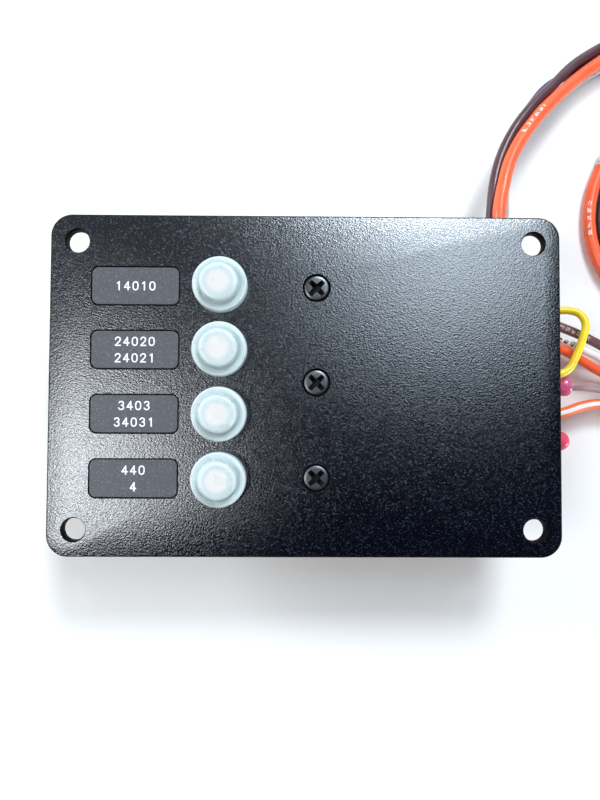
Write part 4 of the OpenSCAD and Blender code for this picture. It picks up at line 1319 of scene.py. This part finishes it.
@dataclass
class PanelPlate:
    """The coated plate, with rounded edges, holes, countersinks and label pockets."""

    width: float = 152.4
    height: float = 101.6
    corner: float = 6.35
    edge: float = 0.4
    hole_inset: float = 7.9375
    hole_d: float = 6.6
    rim_d: float = 7.3
    neck_hole_d: float = 9.825
    screw_hole_d: float = 4.5
    sink_d: float = 8.3
    label_size: Flat = (26.3, 11.7)
    label_corner: float = 2.15
    ease: float = 0.25

    def build(self) -> None:
        """Makes the plate and seats it."""
        made = bmesh.new()
        outer = []
        for inset, z in self._outer_wall():
            width, height = self.width - 2 * inset, self.height - 2 * inset
            outline = outline_rounded((0, 0), width, height, self.corner - inset)
            outer.append(Shapes.loop(made, outline, z))
        Shapes.skin(made, outer)
        tops, bottoms = [outer[0]], [outer[-1]]
        for cut in self._cuts():
            rings = [Shapes.loop(made, cut.outline(grow), z) for grow, z in cut.wall]
            Shapes.skin(made, rings)
            tops.append(rings[0])
            if cut.through:
                bottoms.append(rings[-1])
            else:
                made.faces.new(rings[-1])
        Shapes.fill(made, tops)
        Shapes.fill(made, bottoms)
        self._dull_and_shade_rim(Piece.put("panel_plate", made, POWDER_COAT, "panel_coat", ["panel"], 20.0))

    def _dull_and_shade_rim(self, piece: bpy.types.Object) -> None:
        """Gives the rim, the holes and the pockets a rougher coat with little gloss, as painted shade
        that keeps these edges and walls dark.

        Args:
            piece: the plate.
        """
        piece.data.materials.append(DULL_EDGE_SHADE.material())
        margin = 0.01
        for face in piece.data.polygons:
            if BACK_Z + margin < face.center.z / MM < FACE_Z - margin:
                face.material_index = 1

    def _outer_wall(self) -> list[Flat]:
        """The edge's section: inset and height, from the face to the back.

        Returns:
            Pairs of inset and height.
        """
        section, steps = [], 4
        for k in range(steps + 1):
            turn = math.pi / 2 * k / steps
            rise = self.edge * (1 - math.cos(turn))
            section.append((self.edge * (1 - math.sin(turn)), FACE_Z - rise))
        return section + [(inset, BACK_Z + FACE_Z - z) for inset, z in reversed(section)]

    def _cuts(self) -> list[Cut]:
        """All holes and pockets.

        Returns:
            The cuts.
        """
        low = ((0.0, BACK_Z + 0.3), (self.ease, BACK_Z))
        rim = (self.rim_d - self.hole_d) / 2
        corner = ((rim + 0.1, FACE_Z), (rim, FACE_Z - 0.12), (0.1, FACE_Z - 0.7),
                  (0.0, FACE_Z - 1.0)) + low
        neck = ((self.ease, FACE_Z), (0.0, FACE_Z - 0.3)) + low
        sink = (self.sink_d - self.screw_hole_d) / 2
        screw = ((sink + 0.1, FACE_Z), (sink, FACE_Z - 0.1), (sink - 0.15, FACE_Z - 0.9),
                 (0.0, FACE_Z - 2.4)) + low
        pocket = ((0.12, FACE_Z), (0.03, FACE_Z - 0.06), (0.0, FACE_Z - 0.15),
                  (0.0, FACE_Z - LABEL_POCKET))
        out, up = self.width / 2 - self.hole_inset, self.height / 2 - self.hole_inset
        cuts = [Cut.round((x * out, y * up), self.hole_d, corner) for x in (-1, 1) for y in (-1, 1)]
        rows = [breaker_y(index) for index in BREAKERS]
        cuts += [Cut.round((BREAKER_X, y), self.neck_hole_d, neck) for y in rows]
        cuts += [Cut.round((SCREW_X, relay_y(k)), self.screw_hole_d, screw) for k in RELAYS]
        cuts += [Cut((LABEL_X, y), self.label_size, self.label_corner, pocket, False) for y in rows]
        return cuts


NUMERALS: dict[str, tuple[Flat, ...]] = {
    "0": ((0.0, 0.5), (0.17, 0.45), (0.28, 0.3), (0.31, 0.0), (0.28, -0.3), (0.17, -0.45),
          (0.0, -0.5), (-0.17, -0.45), (-0.28, -0.3), (-0.31, 0.0), (-0.28, 0.3), (-0.17, 0.45),
          (0.0, 0.5)),
    "1": ((-0.16, 0.3), (0.06, 0.5), (0.06, -0.5)),
    "2": ((-0.29, 0.24), (-0.24, 0.41), (-0.08, 0.5), (0.1, 0.5), (0.25, 0.4), (0.29, 0.24),
          (0.22, 0.05), (-0.3, -0.5), (0.3, -0.5)),
    "3": ((-0.27, 0.33), (-0.15, 0.47), (0.03, 0.5), (0.2, 0.43), (0.27, 0.27), (0.2, 0.09),
          (0.02, 0.03), (0.22, -0.05), (0.3, -0.24), (0.22, -0.42), (0.03, -0.5), (-0.17, -0.47),
          (-0.3, -0.31)),
    "4": ((0.13, -0.5), (0.13, 0.5), (-0.32, -0.2), (0.33, -0.2)),
}


@dataclass
class LabelPlates:
    """The four label plates, each with plain numbers."""

    size: Flat = (25.7, 11.1)
    corner: float = 1.9
    thick: float = 0.55
    numeral_h: float = 2.4
    numeral_step: float = 2.5
    line_step: float = 4.9
    stroke: float = 0.4
    flat: float = 0.12
    proud: float = 0.005
    lines: dict[int, tuple[str, ...]] = field(default_factory=lambda: {
        1: ("14010",), 2: ("24020", "24021"), 3: ("3403", "34031"), 4: ("440", "4")})

    @property
    def _top(self) -> float:
        """The height of the plates' faces."""
        return FACE_Z - LABEL_POCKET + self.thick

    def build(self) -> None:
        """Makes the plates and their numbers."""
        for index in BREAKERS:
            self._plate(index)
            self._numerals(index)

    def _plate(self, index: int) -> None:
        """One plate with eased edges.

        Args:
            index: the breaker's number, from the top.
        """
        made = bmesh.new()
        low, top = FACE_Z - LABEL_POCKET, self._top
        rings = []
        for inset, z in ((0.18, top), (0.05, top - 0.05), (0.0, top - 0.18), (0.0, low)):
            width, height = self.size[0] - 2 * inset, self.size[1] - 2 * inset
            centre = (LABEL_X, breaker_y(index))
            outline = outline_rounded(centre, width, height, self.corner - inset)
            rings.append(Shapes.loop(made, outline, z))
        Shapes.capped(made, rings)
        Piece.put(f"label_{index}", made, LABEL_SATIN, "label", [f"label_plate_{index}"], 15.0)

    def _numerals(self, index: int) -> None:
        """The plate's numbers as painted strokes in its face.

        Args:
            index: the breaker's number, from the top.
        """
        made = bmesh.new()
        lines = self.lines[index]
        for row, line in enumerate(lines):
            y = breaker_y(index) + ((len(lines) - 1) / 2 - row) * self.line_step
            for column, digit in enumerate(line):
                x = LABEL_X + (column - (len(line) - 1) / 2) * self.numeral_step
                self._digit(made, NUMERALS[digit], (x, y, self._top + self.proud))
        Piece.put(f"numbers_{index}", made, ENGRAVING, "button_white", sharp=40.0)

    def _digit(self, made: bmesh.types.BMesh, stroke: Sequence[Flat], place: Point) -> None:
        """One digit as a rounded stroke.

        Args:
            made: the bmesh it is added to.
            stroke: its points, at a height of 1.
            place: its middle.
        """
        tall = self.numeral_h
        points = [(place[0] + x * tall, place[1] + y * tall, place[2]) for x, y in stroke]
        for a, b in zip(points, points[1:]):
            Shapes.absorb(made, Shapes.tube([Vector(a), Vector(b)], self.stroke / 2, 12, self.flat))
        for spot in points:
            self._dot(made, spot)

    def _dot(self, made: bmesh.types.BMesh, spot: Point) -> None:
        """A round end or corner of a stroke.

        Args:
            made: the bmesh it is added to.
            spot: its middle.
        """
        r, rise = self.stroke / 2, self.stroke / 2 * self.flat
        rings = [Shapes.loop(made, outline_circle(spot[:2], r * share, 16), spot[2] + rise * lift)
                 for share, lift in ((1.0, -1.0), (1.0, 0.0), (0.8, 0.7), (0.4, 1.0))]
        Shapes.capped(made, rings)


@dataclass
class ResetBreaker:
    """One breaker's moving front: the boot, the button and the spring."""

    index: int
    ring_r: float = 8.0
    dome_r: float = 5.62
    top: float = 7.55
    spring_r: float = 2.4
    spring_wire: float = 0.6
    spring_z: Flat = (18.95, 22.55)
    spring_turns: int = 3
    turn_steps: int = 24
    stretch: Flat = (3.4, 6.4)

    @property
    def centre(self) -> Flat:
        """The breaker's axis."""
        return (BREAKER_X, breaker_y(self.index))

    @property
    def body(self) -> str:
        """The button's node, which gives its body the same name."""
        return f"button_{self.index}"

    def build(self) -> None:
        """Makes the boot and spring, and dresses the button and its contact bridge."""
        self._boot()
        self._spring()
        Piece.dress(self.body, BUTTON_WHITE)
        Piece.dress(f"contact_bridge_{self.index}", COPPER)

    def _boot(self) -> None:
        """The boot: a base ring, a groove and a dome over the button, made in place at rest."""
        r, d, top = self.ring_r, self.dome_r, self.top
        outside = [(0.0, top), (2.0, top), (3.6, top - 0.02), (d - 0.9, top - 0.1),
                   (d - 0.35, top - 0.32), (d - 0.12, top - 0.8), (d - 0.06, top - 1.6), (d, 5.0),
                   (d + 0.06, 4.4), (d + 0.22, 4.12), (d + 0.5, 4.02), (d + 0.8, 4.08),
                   (d + 1.1, 4.2), (d + 1.5, 4.28), (r - 0.45, 4.38), (r - 0.2, 4.32),
                   (r - 0.05, 4.08), (r, 3.6), (r + 0.02, 2.6), (r + 0.04, 1.2), (r, 0.4),
                   (r - 0.15, 0.0)]
        smooth = [(p.x, p.y) for p in smooth_curve([(a, b, 0.0) for a, b in outside], 0.22)]
        inside = [(5.0, 0.0), (4.92, 0.15), (4.92, 5.2), (4.7, 5.35), (3.95, 5.4), (3.78, 5.55),
                  (3.78, 6.2), (3.6, 6.45), (3.2, 6.52), (0.0, 6.52)]
        made = Shapes.lathe(smooth + inside, (*self.centre, FACE_Z), 72)
        node = f"boot_{self.index}"
        piece = Piece.put(f"{node}_skin", made, SILICONE, "boot_silicone", [node], 50.0, None)
        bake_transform(piece)

    def _spring(self) -> None:
        """The return spring, a fixed coil round the button's axis."""
        low, high = self.spring_z
        steps = self.spring_turns * self.turn_steps
        path = []
        for k in range(steps + 1):
            spot = polar(self.centre, self.spring_r, 2 * math.pi * k / self.turn_steps)
            path.append(Vector((*spot, low + (high - low) * k / steps)))
        made = Shapes.tube(path, self.spring_wire / 2, 10)
        name, nodes = f"spring_{self.index}", ["return_springs"]
        piece = Piece.put(name, made, SPRING_STEEL, "spring_steel", nodes, body=None)
        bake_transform(piece)


@dataclass
class BreakerBank:
    """The breakers' fixed pieces: cases, necks, nuts, terminals, the bus bar and its connectors."""

    neck_r: float = 4.7625
    bore_r: float = 3.325
    neck_z: Flat = (27.4, 41.2)
    flange_z: Flat = (29.0, 30.4)
    flange_r: float = 6.5
    thread_pitch: float = 0.8
    solder_x: float = -36.75
    solder_out: float = 3.2
    solder: tuple[Flat, ...] = ((0.3, 0.6), (0.55, 1.6), (0.62, 3.0), (0.5, 4.4), (0.25, 5.6))

    def build(self) -> None:
        """Makes the fixed pieces of the breakers."""
        for index in BREAKERS:
            Piece.soften(f"breaker_case_{index}", 0.35, CASE_BLACK, "case_black")
            self._neck(index)
        Piece.soften("breaker_covers", 0.3, CASE_BLACK, "case_black")
        Piece.soften("neck_nuts", 0.3, NICKEL, "plated_steel")
        Piece.soften("case_rivets", 0.15, BRASS, "rivet_brass")
        Piece.soften("bus_bar", 0.2, COPPER, "bus_copper")
        Piece.soften("push_on_connectors", 0.5, NYLON, "connector_nylon")
        for node in ("line_terminals", "load_terminals"):
            Piece.dress(node, BRASS)
        Piece.dress("bimetal_blades", SPRING_STEEL)
        self._solder()

    def _neck(self, index: int) -> None:
        """One threaded neck with its flange.

        Args:
            index: the breaker's number, from the top.
        """
        centre = (BREAKER_X, breaker_y(index))
        neck = Shapes.thread(self.neck_r, self.bore_r, self.thread_pitch, *self.neck_z, centre)
        Piece.put(f"neck_{index}", neck, NICKEL, "plated_steel", ["threaded_necks"], 50.0)
        (low, high), r, ease = self.flange_z, self.flange_r, 0.2
        profile = [(self.neck_r - ease, low), (r - ease, low), (r, low + ease), (r, high - ease),
                   (r - ease, high), (self.neck_r - ease, high)]
        flange = Shapes.lathe(profile, (*centre, 0.0), 48)
        Piece.put(f"neck_flange_{index}", flange, NICKEL, "plated_steel")

    def _solder(self) -> None:
        """A run of solder where each line blade meets the bus bar."""
        made = bmesh.new()
        for index in BREAKERS:
            for side in (-1, 1):
                spot = (self.solder_x, breaker_y(index) + side * self.solder_out)
                rings = [Shapes.loop(made, outline_circle(spot, r, 16), z) for r, z in self.solder]
                Shapes.capped(made, rings)
        Piece.put("bus_solder", made, SOLDER, "plated_steel", sharp=60.0)


@dataclass
class RelayBank:
    """The three relays with their sockets, brackets, screws and nuts."""

    head_r: float = 3.7
    head_top: float = 36.0
    head_h: float = 2.2
    shank_r: float = 2.05
    tip_z: float = 27.0
    thread_pitch: float = 0.8
    recess: float = 5.6
    recess_w: float = 1.35
    recess_depth: float = 1.9

    def build(self) -> None:
        """Makes the relays' pieces and dresses those that stay as they are."""
        for index in RELAYS:
            Piece.soften(f"relay_cover_{index}", 0.5, RELAY_BLACK, "relay_black")
            Piece.soften(f"relay_socket_{index}", 0.5, SOCKET_BLACK, "socket_black")
            Piece.dress(f"relay_armature_{index}", IRON)
            self._screw(index)
        Piece.soften("relay_brackets", 0.25, NICKEL, "plated_steel")
        Piece.soften("relay_bases", 0.3, BASE_BROWN, "relay_base_brown")
        Piece.soften("relay_nuts", 0.25, NICKEL, "plated_steel")
        Piece.dress("relay_blades", BRASS)
        Piece.dress("relay_coils", WINDING)
        Piece.dress("relay_yokes", IRON)

    def _screw(self, index: int) -> None:
        """One countersunk screw with a cross recess and a threaded shank.

        Args:
            index: the relay's number, from the top.
        """
        centre = (SCREW_X, relay_y(index))
        top, r, low = self.head_top, self.head_r, self.head_top - self.head_h
        profile = [(0.0, top + 0.1), (r * 0.3, top + 0.097), (r * 0.55, top + 0.09),
                   (r * 0.75, top + 0.07), (r * 0.89, top + 0.03), (r - 0.13, top - 0.1),
                   (r, top - 0.34), (r - 0.1, top - 0.6), (self.shank_r, low + 0.1),
                   (self.shank_r - 0.1, low - 0.3), (0.0, low - 0.3)]
        made = Shapes.lathe(profile, (*centre, 0.0), closed=False)
        head = Piece.from_bmesh(f"screw_head_{index}", made)
        self._cut_recess(head, centre)
        Piece.seat(head, SCREW_BLACK, "screw_black", ["relay_screws"])
        self._paint_recess_shade(head, centre)
        pitch = self.thread_pitch
        shank = Shapes.thread(self.shank_r, 0.0, pitch, self.tip_z, low, centre, 0.3, 28)
        Piece.put(f"screw_shank_{index}", shank, SCREW_BLACK, "screw_black", sharp=60.0)

    def _cut_recess(self, head: bpy.types.Object, centre: Flat) -> None:
        """Cuts the tapered cross recess into a head.

        Args:
            head: the screw's head.
            centre: the place of its axis.
        """
        above = 0.6
        top = self.head_top + above
        depth = self.recess_depth + above
        made = bmesh.new()
        about = Matrix.Rotation(math.radians(45), 2)
        quarters = [Matrix.Rotation(math.radians(90 * k), 2) for k in range(4)]
        rings = []
        for share, z in ((1.12, top), (1.0, top - above), (0.42, top - depth)):
            half, wide = self.recess / 2 * share, self.recess_w / 2 * (0.7 + 0.3 * share)
            arm = [(half, -wide), (half, wide), (wide * 1.2, wide * 1.2)]
            corners = [about @ (quarter @ Vector(c)) for quarter in quarters for c in arm]
            outline = [(centre[0] + c.x, centre[1] + c.y) for c in corners]
            rings.append(Shapes.loop(made, outline, z))
        Shapes.capped(made, rings)
        cutter = Piece.from_bmesh("recess_cutter", made)
        cut = head.modifiers.new("recess", "BOOLEAN")
        cut.operation, cut.object, cut.solver = "DIFFERENCE", cutter, "EXACT"
        bpy.context.view_layer.update()
        shown = head.evaluated_get(bpy.context.evaluated_depsgraph_get())
        mesh = bpy.data.meshes.new_from_object(shown)
        head.modifiers.clear()
        head.data = mesh
        mesh.shade_smooth()
        mesh.set_sharp_from_angle(angle=math.radians(35))
        bpy.data.objects.remove(cutter)

    def _paint_recess_shade(self, head: bpy.types.Object, centre: Flat) -> None:
        """Gives the walls and floor of the recess a darker, dull black: painted shade for the unlit
        black of a deep hole.

        Args:
            head: the screw's head.
            centre: the place of its axis.
        """
        head.data.materials.append(RECESS_SHADE_BLACK.material())
        for face in head.data.polygons:
            out = math.hypot(face.center.x / MM - centre[0], face.center.y / MM - centre[1])
            sunk = face.center.z / MM < self.head_top - 0.5
            steep = 0.0 <= face.normal.z < 0.85
            if out < self.recess / 2 + 0.1 and (steep or (sunk and face.normal.z > 0)):
                face.material_index = 1


def main() -> None:
    """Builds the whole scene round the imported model."""
    logging.basicConfig(level=logging.INFO, format="%(name)s %(message)s")
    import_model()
    PhotoCamera().build()
    SurfaceGroups().build()
    Harness().build()
    PanelPlate().build()
    LabelPlates().build()
    for index in BREAKERS:
        ResetBreaker(index).build()
    BreakerBank().build()
    RelayBank().build()
    Studio().build()


if __name__ == "__main__":
    main()
